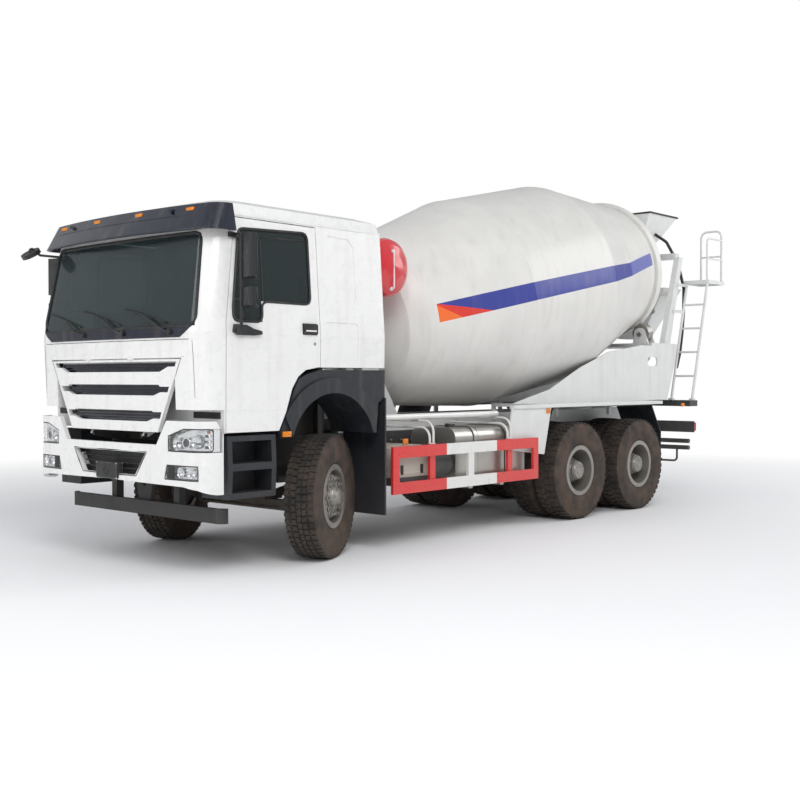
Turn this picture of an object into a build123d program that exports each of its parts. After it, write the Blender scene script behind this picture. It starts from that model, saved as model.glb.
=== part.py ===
from build123d import *
import os
from math import atan2, cos, degrees, radians, sin, sqrt, tan

# Concrete mixer truck, a 6x4 chassis with a drum of about nine cubic metres.
# Units are millimetres. +X points forward, +Y to the vehicle's left and +Z up, and the floor is z = 0.
# Stations along X are worked out from the front axle, which stands FRONT_AXLE_X ahead of the origin.

os.makedirs("parts", exist_ok=True)

# Overall reach, front and rear of the front axle, which centres the model on the origin
FRONT_REACH = 1550.0
REAR_REACH = 7930.0
FRONT_AXLE_X = (REAR_REACH - FRONT_REACH) / 2

# Wheels and axles
WHEELBASE = 4025.0
BOGIE_SPREAD = 1350.0
TYRE_RADIUS = 562.0
TYRE_WIDTH = 304.0
RIM_SEAT_RADIUS = 254.0
RIM_FLANGE_RADIUS = 290.0
RIM_WIDTH = 236.0
RIM_WALL = 12.0
FRONT_TRACK_HALF = 1011.0
REAR_TRACK_HALF = 915.0
DUAL_SPACING = 350.0
KINGPIN_HALF = 840.0
STEER_AT_REST = 25.0
AXLE_Z = TYRE_RADIUS
HAND_HOLES = 8
SEAT_GAP = 0.3
RUNNING_GAP = 0.05

# Frame
FRAME_HALF = 425.0
FRAME_TOP_Z = 1080.0
FRAME_DEPTH = 280.0
FRAME_FLANGE = 80.0
FRAME_WALL = 10.0
FRAME_FRONT_X = FRONT_AXLE_X + 1180.0
FRAME_REAR_X = FRONT_AXLE_X - 6850.0

# Cab
CAB_BACK_X = FRONT_AXLE_X - 680.0
CAB_WALL = 50.0
DOOR_THICKNESS = 50.0
DOOR_GAP = 8.0
GLASS_THICKNESS = 5.0
DOOR_BOTTOM_Z = 1180.0
CAB_FLOOR_Z = 1720.0
CAB_NOSE_Z = 1370.0
FIREWALL_X = FRONT_AXLE_X + 1240.0
LID_TOP_Z = 1780.0
LID_BOTTOM_Z = 1160.0
LID_TOP_HALF = 950.0
LID_BOTTOM_HALF = 630.0
LID_THICKNESS = 35.0
LID_GAP = 10.0
SCREEN_BOTTOM_Z = 2045.0
SCREEN_TOP_Z = 2800.0

# Hinge line on which the cab tilts, at the frame's front
CAB_PIVOT_X = FRONT_AXLE_X + 1400.0
CAB_PIVOT_Z = 1150.0
CAB_PIN_RADIUS = 15.0
CAB_LUG_Y = 375.0
LUG_THICKNESS = 20.0

# Drum, on an axis that starts at its front cone and climbs to the rear
DRUM_TILT = 10.89
DRUM_START_X = FRONT_AXLE_X - 1816.0
DRUM_START_Z = 2226.0
DRUM_WALL = 10.0
RING_STATION = 4660.0
RING_RADIUS = 935.0
RING_WIDTH = 110.0
ROLLER_RADIUS = 125.0
ROLLER_WIDTH = 120.0
ROLLER_ANGLE = 34.0

SIDES = {"left": 1.0, "right": -1.0}
REAR_AXLES = {"1": FRONT_AXLE_X - WHEELBASE, "2": FRONT_AXLE_X - WHEELBASE - BOGIE_SPREAD}


def block(x0, x1, y0, y1, z0, z1, mode=Mode.ADD):
    """Adds a box between two corners to the open part."""
    with Locations(((x0 + x1) / 2, (y0 + y1) / 2, (z0 + z1) / 2)):
        Box(abs(x1 - x0), abs(y1 - y0), abs(z1 - z0), mode=mode)


def slab(plane, points, amount, radius=0.0, mode=Mode.ADD):
    """Extrudes a straight-sided outline, with its corners rounded, off a plane in the open part."""
    with BuildSketch(plane) as outline:
        with BuildLine():
            FilletPolyline(*points, radius=radius, close=True)
        make_face()
    extrude(outline.sketch, amount=amount, mode=mode)


def side_slab(points, y0, y1, radius=0.0, mode=Mode.ADD):
    """Extrudes an outline of (x, z) points from y0 to y1."""
    low, high = min(y0, y1), max(y0, y1)
    slab(Plane(origin=(0, high, 0), x_dir=(1, 0, 0), z_dir=(0, -1, 0)), points, high - low, radius, mode)


def front_slab(points, x0, x1, radius=0.0, mode=Mode.ADD):
    """Extrudes an outline of (y, z) points from x0 to x1."""
    low, high = min(x0, x1), max(x0, x1)
    slab(Plane(origin=(low, 0, 0), x_dir=(0, 1, 0), z_dir=(1, 0, 0)), points, high - low, radius, mode)


def plan_slab(points, z0, z1, radius=0.0, mode=Mode.ADD):
    """Extrudes an outline of (x, y) points from z0 to z1."""
    slab(Plane.XY.offset(min(z0, z1)), points, abs(z1 - z0), radius, mode)


def rod(start, end, radius, mode=Mode.ADD):
    """Adds a round bar between two points to the open part."""
    run = Vector(*end) - Vector(*start)
    with BuildSketch(Plane(origin=start, z_dir=run.normalized())) as section:
        Circle(radius)
    extrude(section.sketch, amount=run.length, mode=mode)


def bent_tube(points, radius, bend):
    """Sweeps a round bar along straight runs joined by arcs, in the open part."""
    with BuildLine() as path:
        FilletPolyline(*points, radius=bend)
    start = path.line @ 0
    heading = path.line % 0
    with BuildSketch(Plane(origin=start, z_dir=heading)) as section:
        Circle(radius)
    sweep(section.sketch, path=path.line)


def save(builder, name):
    """Labels a finished piece and writes it."""
    builder.part.label = name
    export_step(builder.part, f"parts/{name}.step")


# Wheels

class WheelPlace:
    """Where a wheel stands: its centre, its axle's outward direction and the planes made from them."""

    def __init__(self, x, y, steer=0.0, z=AXLE_Z):
        outward = 1.0 if y > 0 else -1.0
        turn = radians(steer)
        self.centre = Vector(x, y, z)
        self.out = Vector(-sin(turn) * outward, cos(turn) * outward, 0)
        self.section = Plane(origin=self.centre, x_dir=self.out, z_dir=self.out.cross(Vector(0, 0, 1)))
        self.face = Plane(origin=self.centre, x_dir=(0, 0, 1), z_dir=self.out)
        self.axis = Axis(self.centre, self.out)

    def ring(self, outline, mode=Mode.ADD):
        """Revolves an outline of (distance outwards, radius) points about the axle."""
        with BuildSketch(self.section) as section:
            with BuildLine():
                Polyline(*outline, close=True)
            make_face()
        revolve(section.sketch, axis=self.axis, mode=mode)


def tyre_section(place, offset):
    """Adds one tyre, its tread a little crowned and its side walls bulged, to the open part."""
    seat = RIM_SEAT_RADIUS + SEAT_GAP
    bead = RIM_WIDTH / 2 - SEAT_GAP
    lip = RIM_FLANGE_RADIUS + 2.0
    wall = TYRE_WIDTH / 2
    shoulder = TYRE_RADIUS - 26
    tread = wall - 26
    with BuildSketch(place.section) as section:
        with BuildLine():
            Line((offset - bead, seat), (offset + bead, seat))
            Line((offset + bead, seat), (offset + bead, lip))
            ThreePointArc((offset + bead, lip), (offset + wall, (lip + shoulder) / 2),
                          (offset + wall - 14, shoulder))
            Line((offset + wall - 14, shoulder), (offset + tread, TYRE_RADIUS - 4))
            Line((offset + tread, TYRE_RADIUS - 4), (offset, TYRE_RADIUS))
            Line((offset, TYRE_RADIUS), (offset - tread, TYRE_RADIUS - 4))
            Line((offset - tread, TYRE_RADIUS - 4), (offset - wall + 14, shoulder))
            ThreePointArc((offset - wall + 14, shoulder), (offset - wall, (lip + shoulder) / 2),
                          (offset - bead, lip))
            Line((offset - bead, lip), (offset - bead, seat))
        make_face()
    revolve(section.sketch, axis=place.axis)


def rim_barrel(place, offset):
    """Adds a rim's barrel with its two flanges to the open part."""
    half = RIM_WIDTH / 2
    flange = half + RIM_WALL
    inner = RIM_SEAT_RADIUS - RIM_WALL
    place.ring([
        (offset - flange, RIM_FLANGE_RADIUS), (offset - half, RIM_FLANGE_RADIUS),
        (offset - half, RIM_SEAT_RADIUS), (offset + half, RIM_SEAT_RADIUS),
        (offset + half, RIM_FLANGE_RADIUS), (offset + flange, RIM_FLANGE_RADIUS),
        (offset + flange, inner), (offset - flange, inner)])


SPINDLE_RADIUS = 45.0
FRONT_HUB_BACK = -95.0
FRONT_HUB_NOSE = 172.0
REAR_HUB_BACK = -300.0
REAR_HUB_NOSE = 285.0
BARREL_INNER = RIM_SEAT_RADIUS - RIM_WALL
SPINDLE_REACH = 60.0


def front_rim(place):
    """Adds a front wheel's barrel, its bulged disc with hand holes, its hub and brake drum."""
    rim_barrel(place, 0.0)
    place.ring([(20, BARREL_INNER + 1), (34, BARREL_INNER + 1), (100, 190), (100, 0), (84, 0), (84, 184)])
    place.ring([(95, 0), (95, 88), (FRONT_HUB_NOSE - 30, 88), (FRONT_HUB_NOSE, 62), (FRONT_HUB_NOSE, 0)])
    place.ring([(FRONT_HUB_BACK, 0), (FRONT_HUB_BACK, 200), (-5, 200), (60, 120), (90, 120), (90, 0)])
    with BuildSketch(place.face.offset(24)) as holes:
        with PolarLocations(215, HAND_HOLES):
            Circle(20)
    extrude(holes.sketch, amount=90, mode=Mode.SUBTRACT)
    bore = SPINDLE_RADIUS + RUNNING_GAP
    place.ring([(FRONT_HUB_BACK, 0), (FRONT_HUB_BACK, bore), (SPINDLE_REACH + 5, bore), (SPINDLE_REACH + 5, 0)],
               Mode.SUBTRACT)


def rear_rims(place):
    """Adds a pair of rear rims with their dished discs, the hub between them and the brake drum."""
    half = DUAL_SPACING / 2
    for sign in (1.0, -1.0):
        rim_barrel(place, sign * half)
        place.ring([(0, 0), (0, 215), (sign * 62, BARREL_INNER + 1), (sign * 76, BARREL_INNER + 1),
                    (sign * 18, 205), (sign * 18, 0)])
    with BuildSketch(place.face.offset(-80)) as holes:
        with PolarLocations(222, HAND_HOLES):
            Circle(18)
    extrude(holes.sketch, amount=160, mode=Mode.SUBTRACT)
    place.ring([(0, 0), (0, 150), (REAR_HUB_NOSE - 100, 140), (REAR_HUB_NOSE - 40, 105),
                (REAR_HUB_NOSE, 95), (REAR_HUB_NOSE, 0)])
    place.ring([(REAR_HUB_BACK, 0), (REAR_HUB_BACK, 212), (-40, 212), (0, 170), (0, 0)])
    bore = SPINDLE_RADIUS + RUNNING_GAP
    place.ring([(REAR_HUB_BACK, 0), (REAR_HUB_BACK, bore), (SPINDLE_REACH + 5, bore), (SPINDLE_REACH + 5, 0)],
               Mode.SUBTRACT)


def steered(side):
    """The place of a front wheel, turned about its kingpin as far as the wheels are at rest."""
    turn = radians(STEER_AT_REST)
    arm = (FRONT_TRACK_HALF - KINGPIN_HALF) * side
    return WheelPlace(FRONT_AXLE_X - arm * sin(turn), KINGPIN_HALF * side + arm * cos(turn), STEER_AT_REST)


for name, side in SIDES.items():
    spot = steered(side)
    with BuildPart() as front_tyre:
        tyre_section(spot, 0.0)
    save(front_tyre, f"front_tyre_{name}")
    with BuildPart() as rim:
        front_rim(spot)
    save(rim, f"front_wheel_{name}")
    for number, axle_x in REAR_AXLES.items():
        spot = WheelPlace(axle_x, REAR_TRACK_HALF * side)
        with BuildPart() as dual_tyres:
            tyre_section(spot, DUAL_SPACING / 2)
            tyre_section(spot, -DUAL_SPACING / 2)
        save(dual_tyres, f"rear_tyres_{number}_{name}")
        with BuildPart() as dual_rims:
            rear_rims(spot)
        save(dual_rims, f"rear_wheels_{number}_{name}")

# Knuckles, each a fork on the beam's end with its kingpin, a spindle, a brake plate and a steering arm

BEAM_EYE_RADIUS = 50.0
BEAM_EYE_HALF = 80.0
KINGPIN_RADIUS = 25.0
FORK_THICKNESS = 34.0
ARM_LENGTH = 200.0
BRAKE_PLATE = 18.0
TIE_PIN_RADIUS = 14.0
TIE_EYE_RADIUS = 32.0
TIE_EYE_HEIGHT = 44.0
FORK_GAP = BEAM_EYE_HALF + SEAT_GAP
ARM_LOW_Z = AXLE_Z - FORK_GAP - FORK_THICKNESS
TIE_EYE_TOP_Z = ARM_LOW_Z - 3.0
KINGPIN_TO_PLATE = FRONT_TRACK_HALF - KINGPIN_HALF + FRONT_HUB_BACK - 1.0 - BRAKE_PLATE

for name, side in SIDES.items():
    spot = steered(side)
    pin = (FRONT_AXLE_X, KINGPIN_HALF * side)
    with BuildPart() as knuckle:
        for low in (ARM_LOW_Z, AXLE_Z + FORK_GAP):
            with BuildSketch(Plane(origin=(*pin, low), x_dir=spot.out, z_dir=(0, 0, 1))) as ear:
                Circle(BEAM_EYE_RADIUS)
                with Locations(((KINGPIN_TO_PLATE + 4) / 2, 0)):
                    Rectangle(KINGPIN_TO_PLATE + 4, BEAM_EYE_RADIUS * 2)
            extrude(ear.sketch, amount=FORK_THICKNESS)
        rod((*pin, ARM_LOW_Z), (*pin, AXLE_Z + FORK_GAP + FORK_THICKNESS), KINGPIN_RADIUS)
        with BuildSketch(spot.face.offset(FRONT_HUB_BACK - 1.0 - BRAKE_PLATE)) as plate:
            Circle(200)
        extrude(plate.sketch, amount=BRAKE_PLATE)
        with BuildSketch(spot.face.offset(FRONT_HUB_BACK - 1.0 - BRAKE_PLATE)) as spindle:
            Circle(SPINDLE_RADIUS)
        extrude(spindle.sketch, amount=SPINDLE_REACH - FRONT_HUB_BACK + 1.0 + BRAKE_PLATE)
        with BuildSketch(Plane(origin=(*pin, ARM_LOW_Z), x_dir=spot.out, z_dir=(0, 0, 1))) as arm:
            Circle(BEAM_EYE_RADIUS - 8)
            with Locations((0, ARM_LENGTH * side)):
                Circle(TIE_EYE_RADIUS)
            make_hull()
        extrude(arm.sketch, amount=FORK_THICKNESS)
        turn = radians(STEER_AT_REST)
        arm_pin = (pin[0] - ARM_LENGTH * cos(turn), pin[1] - ARM_LENGTH * sin(turn))
        rod((*arm_pin, TIE_EYE_TOP_Z - TIE_EYE_HEIGHT - 10), (*arm_pin, ARM_LOW_Z), TIE_PIN_RADIUS)
    save(knuckle, f"steering_knuckle_{name}")

# Tie rod, straight across between the two arms' pins

tie_turn = radians(STEER_AT_REST)
tie_x = FRONT_AXLE_X - ARM_LENGTH * cos(tie_turn)
tie_shift = -ARM_LENGTH * sin(tie_turn)
tie_z = TIE_EYE_TOP_Z - TIE_EYE_HEIGHT / 2
with BuildPart() as tie_rod:
    for side in SIDES.values():
        rod((tie_x, KINGPIN_HALF * side + tie_shift, tie_z - TIE_EYE_HEIGHT / 2),
            (tie_x, KINGPIN_HALF * side + tie_shift, tie_z + TIE_EYE_HEIGHT / 2), TIE_EYE_RADIUS)
    rod((tie_x, -KINGPIN_HALF + tie_shift, tie_z), (tie_x, KINGPIN_HALF + tie_shift, tie_z), 20)
    for side in SIDES.values():
        rod((tie_x, KINGPIN_HALF * side + tie_shift, tie_z - TIE_EYE_HEIGHT),
            (tie_x, KINGPIN_HALF * side + tie_shift, tie_z + TIE_EYE_HEIGHT),
            TIE_PIN_RADIUS + RUNNING_GAP, mode=Mode.SUBTRACT)
save(tie_rod, "tie_rod")

# Front axle beam, dropped between its eyes, with the pads that the springs stand on

SPRING_HALF = 385.0
SPRING_WIDTH = 80.0
BEAM_TOP_Z = AXLE_Z - 62.0
BEAM_BOTTOM_Z = BEAM_TOP_Z - 95.0
BEAM_HALF_WIDTH = 42.0
PAD_TOP_Z = BEAM_TOP_Z + 20.0
with BuildPart() as front_axle:
    front_slab([(-KINGPIN_HALF + 30, AXLE_Z + 55), (-700, AXLE_Z + 40), (-590, BEAM_TOP_Z), (590, BEAM_TOP_Z),
                (700, AXLE_Z + 40), (KINGPIN_HALF - 30, AXLE_Z + 55), (KINGPIN_HALF - 30, AXLE_Z - 55),
                (730, AXLE_Z - 60), (620, BEAM_BOTTOM_Z), (-620, BEAM_BOTTOM_Z), (-730, AXLE_Z - 60),
                (-KINGPIN_HALF + 30, AXLE_Z - 55)],
               FRONT_AXLE_X - BEAM_HALF_WIDTH, FRONT_AXLE_X + BEAM_HALF_WIDTH)
    for end in (-1.0, 1.0):
        block(FRONT_AXLE_X + end * 18, FRONT_AXLE_X + end * BEAM_HALF_WIDTH, -570, 570,
              BEAM_BOTTOM_Z + 22, BEAM_TOP_Z - 22, Mode.SUBTRACT)
    for side in SIDES.values():
        block(FRONT_AXLE_X - 110, FRONT_AXLE_X + 110, side * SPRING_HALF - 45, side * SPRING_HALF + 45,
              BEAM_TOP_Z - 1, PAD_TOP_Z)
        rod((FRONT_AXLE_X, side * KINGPIN_HALF, AXLE_Z - BEAM_EYE_HALF),
            (FRONT_AXLE_X, side * KINGPIN_HALF, AXLE_Z + BEAM_EYE_HALF), BEAM_EYE_RADIUS)
        rod((FRONT_AXLE_X, side * KINGPIN_HALF, AXLE_Z - BEAM_EYE_HALF),
            (FRONT_AXLE_X, side * KINGPIN_HALF, AXLE_Z + BEAM_EYE_HALF), KINGPIN_RADIUS + RUNNING_GAP,
            mode=Mode.SUBTRACT)

# Front springs, each a pack of stepped leaves with an eye at both ends, hung under the frame

SPRING_REACH = 780.0
SPRING_EYE_Z = 735.0
LEAF = 16.0
LEAVES = [(1.0, 0.0), (0.82, 1.0), (0.6, 2.0), (0.38, 3.0)]  # share of the half length, place in the pack
HANGER_RISE = 90.0
with BuildPart() as front_springs:
    for side in SIDES.values():
        y0 = side * SPRING_HALF - SPRING_WIDTH / 2
        y1 = side * SPRING_HALF + SPRING_WIDTH / 2
        pack_top = PAD_TOP_Z + SEAT_GAP + LEAF * len(LEAVES)
        for share, place in LEAVES:
            reach = SPRING_REACH * share
            top = pack_top - LEAF * place
            rise = (SPRING_EYE_Z - pack_top) * share * share
            side_slab([(FRONT_AXLE_X - reach, top + rise - LEAF), (FRONT_AXLE_X - 110, top - LEAF),
                       (FRONT_AXLE_X + 110, top - LEAF), (FRONT_AXLE_X + reach, top + rise - LEAF),
                       (FRONT_AXLE_X + reach, top + rise), (FRONT_AXLE_X + 110, top),
                       (FRONT_AXLE_X - 110, top), (FRONT_AXLE_X - reach, top + rise)], y0, y1)
        for end in (-1.0, 1.0):
            x = FRONT_AXLE_X + end * SPRING_REACH
            rod((x, y0, SPRING_EYE_Z), (x, y1, SPRING_EYE_Z), 30)
            side_slab([(x - 24, SPRING_EYE_Z), (x + 24, SPRING_EYE_Z), (x + 40, FRAME_TOP_Z - FRAME_DEPTH),
                       (x - 40, FRAME_TOP_Z - FRAME_DEPTH)], y0 + 20, y1 - 20)

# Frame: two channels, open inwards, and the members across them

CROSS_MEMBERS = [1130.0, -1480.0, -2250.0, -3150.0, -4700.0, -6000.0, -6800.0]  # from the front axle
with BuildPart() as frame:
    for side in SIDES.values():
        outer = side * FRAME_HALF
        inner = side * (FRAME_HALF - FRAME_FLANGE)
        web = side * (FRAME_HALF - FRAME_WALL)
        block(FRAME_REAR_X, FRAME_FRONT_X, inner, outer, FRAME_TOP_Z - FRAME_DEPTH, FRAME_TOP_Z)
        block(FRAME_REAR_X, FRAME_FRONT_X, inner, web, FRAME_TOP_Z - FRAME_DEPTH + FRAME_WALL,
              FRAME_TOP_Z - FRAME_WALL, Mode.SUBTRACT)
    for station in CROSS_MEMBERS:
        x = FRONT_AXLE_X + station
        block(x - 40, x + 40, -FRAME_HALF + FRAME_WALL, FRAME_HALF - FRAME_WALL, FRAME_TOP_Z - 240,
              FRAME_TOP_Z - 120)
    for side in SIDES.values():
        side_slab([(FRAME_FRONT_X - 95, FRAME_TOP_Z - 1), (FRAME_FRONT_X, FRAME_TOP_Z - 1),
                   (CAB_PIVOT_X + 15, CAB_PIVOT_Z - 25), (CAB_PIVOT_X + 24, CAB_PIVOT_Z + 8),
                   (CAB_PIVOT_X, CAB_PIVOT_Z + 24), (FRAME_FRONT_X - 20, CAB_PIVOT_Z + 5),
                   (FRAME_FRONT_X - 95, FRAME_TOP_Z + 40)], side * (CAB_LUG_Y - 5),
                  side * (CAB_LUG_Y - 5 - LUG_THICKNESS))
        rod((CAB_PIVOT_X, side * (CAB_LUG_Y - 8), CAB_PIVOT_Z),
            (CAB_PIVOT_X, side * (CAB_LUG_Y + LUG_THICKNESS + 5), CAB_PIVOT_Z), CAB_PIN_RADIUS)
        block(CAB_BACK_X + 40, CAB_BACK_X + 100, side * 360, side * FRAME_HALF, FRAME_TOP_Z - 1,
              CAB_FLOOR_Z - SEAT_GAP)
    block(CAB_BACK_X + 40, CAB_BACK_X + 100, -FRAME_HALF, FRAME_HALF, CAB_FLOOR_Z - 60, CAB_FLOOR_Z - SEAT_GAP)
save(frame, "chassis_frame")

# Engine and gearbox as one plain block, with the radiator ahead of it

ENGINE_HALF = 330.0
GEARBOX_REAR_X = FRONT_AXLE_X - 1400.0
with BuildPart() as engine:
    block(FRONT_AXLE_X - 760, FRONT_AXLE_X + 620, -ENGINE_HALF, ENGINE_HALF, 690, 1600)
    side_slab([(FRONT_AXLE_X - 750, 1060), (GEARBOX_REAR_X, 1000), (GEARBOX_REAR_X, 700),
               (FRONT_AXLE_X - 750, 690)], -210, 210)
    for station in (350.0, -640.0):
        x = FRONT_AXLE_X + station
        for side in SIDES.values():
            block(x - 50, x + 50, side * (ENGINE_HALF - 1), side * (FRAME_HALF - FRAME_WALL - SEAT_GAP), 880, 960)
    block(FRONT_AXLE_X + 960, FRONT_AXLE_X + 1070, -400, 400, FRAME_TOP_Z + SEAT_GAP, 1560)
save(engine, "engine_block")

# Drive axles with their spindles, and the balance springs between them

AXLE_TUBE = 78.0
SHAFT_RADIUS = 42.0
AXLE_END = REAR_TRACK_HALF + REAR_HUB_BACK - 1.0
with BuildPart() as axles:
    add(front_axle.part)
    for axle_x in REAR_AXLES.values():
        rod((axle_x, -AXLE_END, AXLE_Z), (axle_x, AXLE_END, AXLE_Z), AXLE_TUBE)
        with BuildSketch(Plane(origin=(axle_x, 0, AXLE_Z), x_dir=(0, 1, 0), z_dir=(1, 0, 0))) as banjo:
            with BuildLine():
                Polyline((-360, 0), (-300, AXLE_TUBE), (-190, 165), (-90, 205), (90, 205), (190, 165),
                         (300, AXLE_TUBE), (360, 0), close=True)
            make_face()
        revolve(banjo.sketch, axis=Axis((axle_x, 0, AXLE_Z), (0, 1, 0)))
        rod((axle_x, 60, AXLE_Z + 40), (axle_x + 330, 60, AXLE_Z + 60), 95)
        for side in SIDES.values():
            rod((axle_x, side * (AXLE_END - BRAKE_PLATE), AXLE_Z), (axle_x, side * AXLE_END, AXLE_Z), 205)
            rod((axle_x, side * AXLE_END, AXLE_Z),
                (axle_x, side * (REAR_TRACK_HALF + SPINDLE_REACH), AXLE_Z), SPINDLE_RADIUS)
    rod((GEARBOX_REAR_X - 5, 0, 780), (REAR_AXLES["1"] + 325, 60, AXLE_Z + 60), SHAFT_RADIUS)
    rod((REAR_AXLES["1"] - 60, 60, AXLE_Z + 130), (REAR_AXLES["2"] + 60, 60, AXLE_Z + 130), SHAFT_RADIUS)
save(axles, "axle_beams")

BOGIE_X = FRONT_AXLE_X - WHEELBASE - BOGIE_SPREAD / 2
BOGIE_SPRING_HALF = 510.0
BOGIE_SPRING_WIDTH = 90.0
SPRING_PAD_Z = AXLE_Z + AXLE_TUBE + SEAT_GAP
with BuildPart() as springs:
    add(front_springs.part)
    for side in SIDES.values():
        y0 = side * BOGIE_SPRING_HALF - BOGIE_SPRING_WIDTH / 2
        y1 = side * BOGIE_SPRING_HALF + BOGIE_SPRING_WIDTH / 2
        half = BOGIE_SPREAD / 2
        side_slab([(BOGIE_X - half - 70, SPRING_PAD_Z), (BOGIE_X - half + 40, SPRING_PAD_Z),
                   (BOGIE_X - 120, SPRING_PAD_Z + 40), (BOGIE_X + 120, SPRING_PAD_Z + 40),
                   (BOGIE_X + half - 40, SPRING_PAD_Z), (BOGIE_X + half + 70, SPRING_PAD_Z),
                   (BOGIE_X + half + 70, SPRING_PAD_Z + 32), (BOGIE_X + 420, SPRING_PAD_Z + 92),
                   (BOGIE_X + 120, SPRING_PAD_Z + 165), (BOGIE_X - 120, SPRING_PAD_Z + 165),
                   (BOGIE_X - 420, SPRING_PAD_Z + 92), (BOGIE_X - half - 70, SPRING_PAD_Z + 32)], y0, y1)
        side_slab([(BOGIE_X - 110, SPRING_PAD_Z + 42), (BOGIE_X + 110, SPRING_PAD_Z + 42),
                   (BOGIE_X + 90, AXLE_Z - 90), (BOGIE_X - 90, AXLE_Z - 90)], side * 430, side * 556)
        side_slab([(BOGIE_X - 180, FRAME_TOP_Z - 60), (BOGIE_X + 180, FRAME_TOP_Z - 60),
                   (BOGIE_X + 90, AXLE_Z - 90), (BOGIE_X - 90, AXLE_Z - 90)], side * FRAME_HALF, side * 445)
    rod((BOGIE_X, -430, AXLE_Z - 20), (BOGIE_X, 430, AXLE_Z - 20), 60)
save(springs, "suspension_springs")

# Bumper, with its pods for the headlamps, a ledge below the lid and an air opening

BUMPER_FACE_X = FRONT_AXLE_X + 1505.0
BUMPER_REAR_X = FRONT_AXLE_X + 1256.0
BUMPER_HALF = 1245.0
BUMPER_BOTTOM_Z = 685.0
BUMPER_BELLY = [(-1246, 600), (1246, 600), (1246, 690), (1150, 730), (1000, 752), (0, 766), (-1000, 752),
                (-1150, 730), (-1246, 690)]
POD_TOP_Z = 1280.0
LEDGE_Z = 1080.0
BUMPER_WALL = 40.0
BUMPER_CROWN = 45.0
BUMPER_CORNER = 190.0


def bumper_plan(inset, rear_x, z):
    """The bumper's outline in plan at a height, pulled in by a wall."""
    half = BUMPER_HALF - inset
    face = BUMPER_FACE_X - inset
    with BuildSketch(Plane.XY.offset(z)) as plan:
        with BuildLine():
            Line((rear_x, -half), (face - BUMPER_CROWN, -half))
            ThreePointArc((face - BUMPER_CROWN, -half), (face, 0), (face - BUMPER_CROWN, half))
            Line((face - BUMPER_CROWN, half), (rear_x, half))
            Line((rear_x, half), (rear_x, -half))
        make_face()
        fillet(plan.vertices().group_by(Axis.X)[-1], BUMPER_CORNER - inset)
    return plan.sketch


HEADLAMP = [(815, 1030), (1300, 1030), (1300, 1222), (1010, 1222), (815, 1160)]
FOG_LAMP = [(765, 800), (1160, 800), (1160, 925), (800, 925)]
AIR_MOUTH = [(-385, 815), (385, 815), (530, 1010), (-530, 1010)]
with BuildPart() as bumper:
    extrude(bumper_plan(0.0, BUMPER_REAR_X, BUMPER_BOTTOM_Z), amount=POD_TOP_Z - BUMPER_BOTTOM_Z)
    extrude(bumper_plan(BUMPER_WALL, BUMPER_REAR_X - 10, BUMPER_BOTTOM_Z - 10),
            amount=POD_TOP_Z - BUMPER_BOTTOM_Z + 20, mode=Mode.SUBTRACT)
    front_slab([(-LID_BOTTOM_HALF - 40, LEDGE_Z), (LID_BOTTOM_HALF + 40, LEDGE_Z),
                (LID_BOTTOM_HALF + 170, POD_TOP_Z + 5), (-LID_BOTTOM_HALF - 170, POD_TOP_Z + 5)],
               FRONT_AXLE_X + 1200, FRONT_AXLE_X + 1600, mode=Mode.SUBTRACT)
    front_slab(AIR_MOUTH, FRONT_AXLE_X + 1300, FRONT_AXLE_X + 1600, mode=Mode.SUBTRACT)
    front_slab(BUMPER_BELLY, BUMPER_REAR_X - 20, FRONT_AXLE_X + 1600, mode=Mode.SUBTRACT)
    block(FRONT_AXLE_X + 1462, FRONT_AXLE_X + 1528, -150, 150, 772, 905)
    for side in SIDES.values():
        front_slab([(side * y, z) for y, z in HEADLAMP], FRONT_AXLE_X + 1265, FRONT_AXLE_X + 1600,
                   mode=Mode.SUBTRACT)
        front_slab([(side * y, z) for y, z in FOG_LAMP], FRONT_AXLE_X + 1330, FRONT_AXLE_X + 1600,
                   mode=Mode.SUBTRACT)
        side_slab([(BUMPER_REAR_X - 5, 1165), (BUMPER_REAR_X - 5, POD_TOP_Z + 5),
                   (BUMPER_REAR_X + 72, POD_TOP_Z + 5)], side * 1100, side * 1300, mode=Mode.SUBTRACT)
        block(FRAME_FRONT_X + SEAT_GAP, FRONT_AXLE_X + 1300, side * (FRAME_HALF - FRAME_FLANGE), side * 560,
              FRAME_TOP_Z - FRAME_DEPTH, 990)
        block(FRONT_AXLE_X + 1290, FRONT_AXLE_X + 1480, side * 580, side * 640, 850, 960)
        block(FRONT_AXLE_X + 1240, FRONT_AXLE_X + 1330, side * 480, side * 640, 850, 960)
save(bumper, "front_bumper")

# Headlamps and fog lamps, each a solid lens that fills its recess to just under the bumper's skin

with BuildPart() as lamps:
    extrude(bumper_plan(4.0, BUMPER_REAR_X, 780), amount=460)
    extrude(bumper_plan(BUMPER_WALL - 2, BUMPER_REAR_X - 10, 770), amount=480, mode=Mode.SUBTRACT)
    with BuildSketch(Plane(origin=(BUMPER_REAR_X + 25, 0, 0), x_dir=(0, 1, 0), z_dir=(1, 0, 0))) as openings:
        for side in SIDES.values():
            with BuildLine():
                Polyline(*[(side * y, z) for y, z in HEADLAMP], close=True)
            make_face()
            with BuildLine():
                Polyline(*[(side * y, z) for y, z in FOG_LAMP], close=True)
            make_face()
        offset(amount=-SEAT_GAP, kind=Kind.INTERSECTION)
    extrude(openings.sketch, amount=400, mode=Mode.INTERSECT)
save(lamps, "front_lamps")

# Front under-run bar on its bracket

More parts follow.
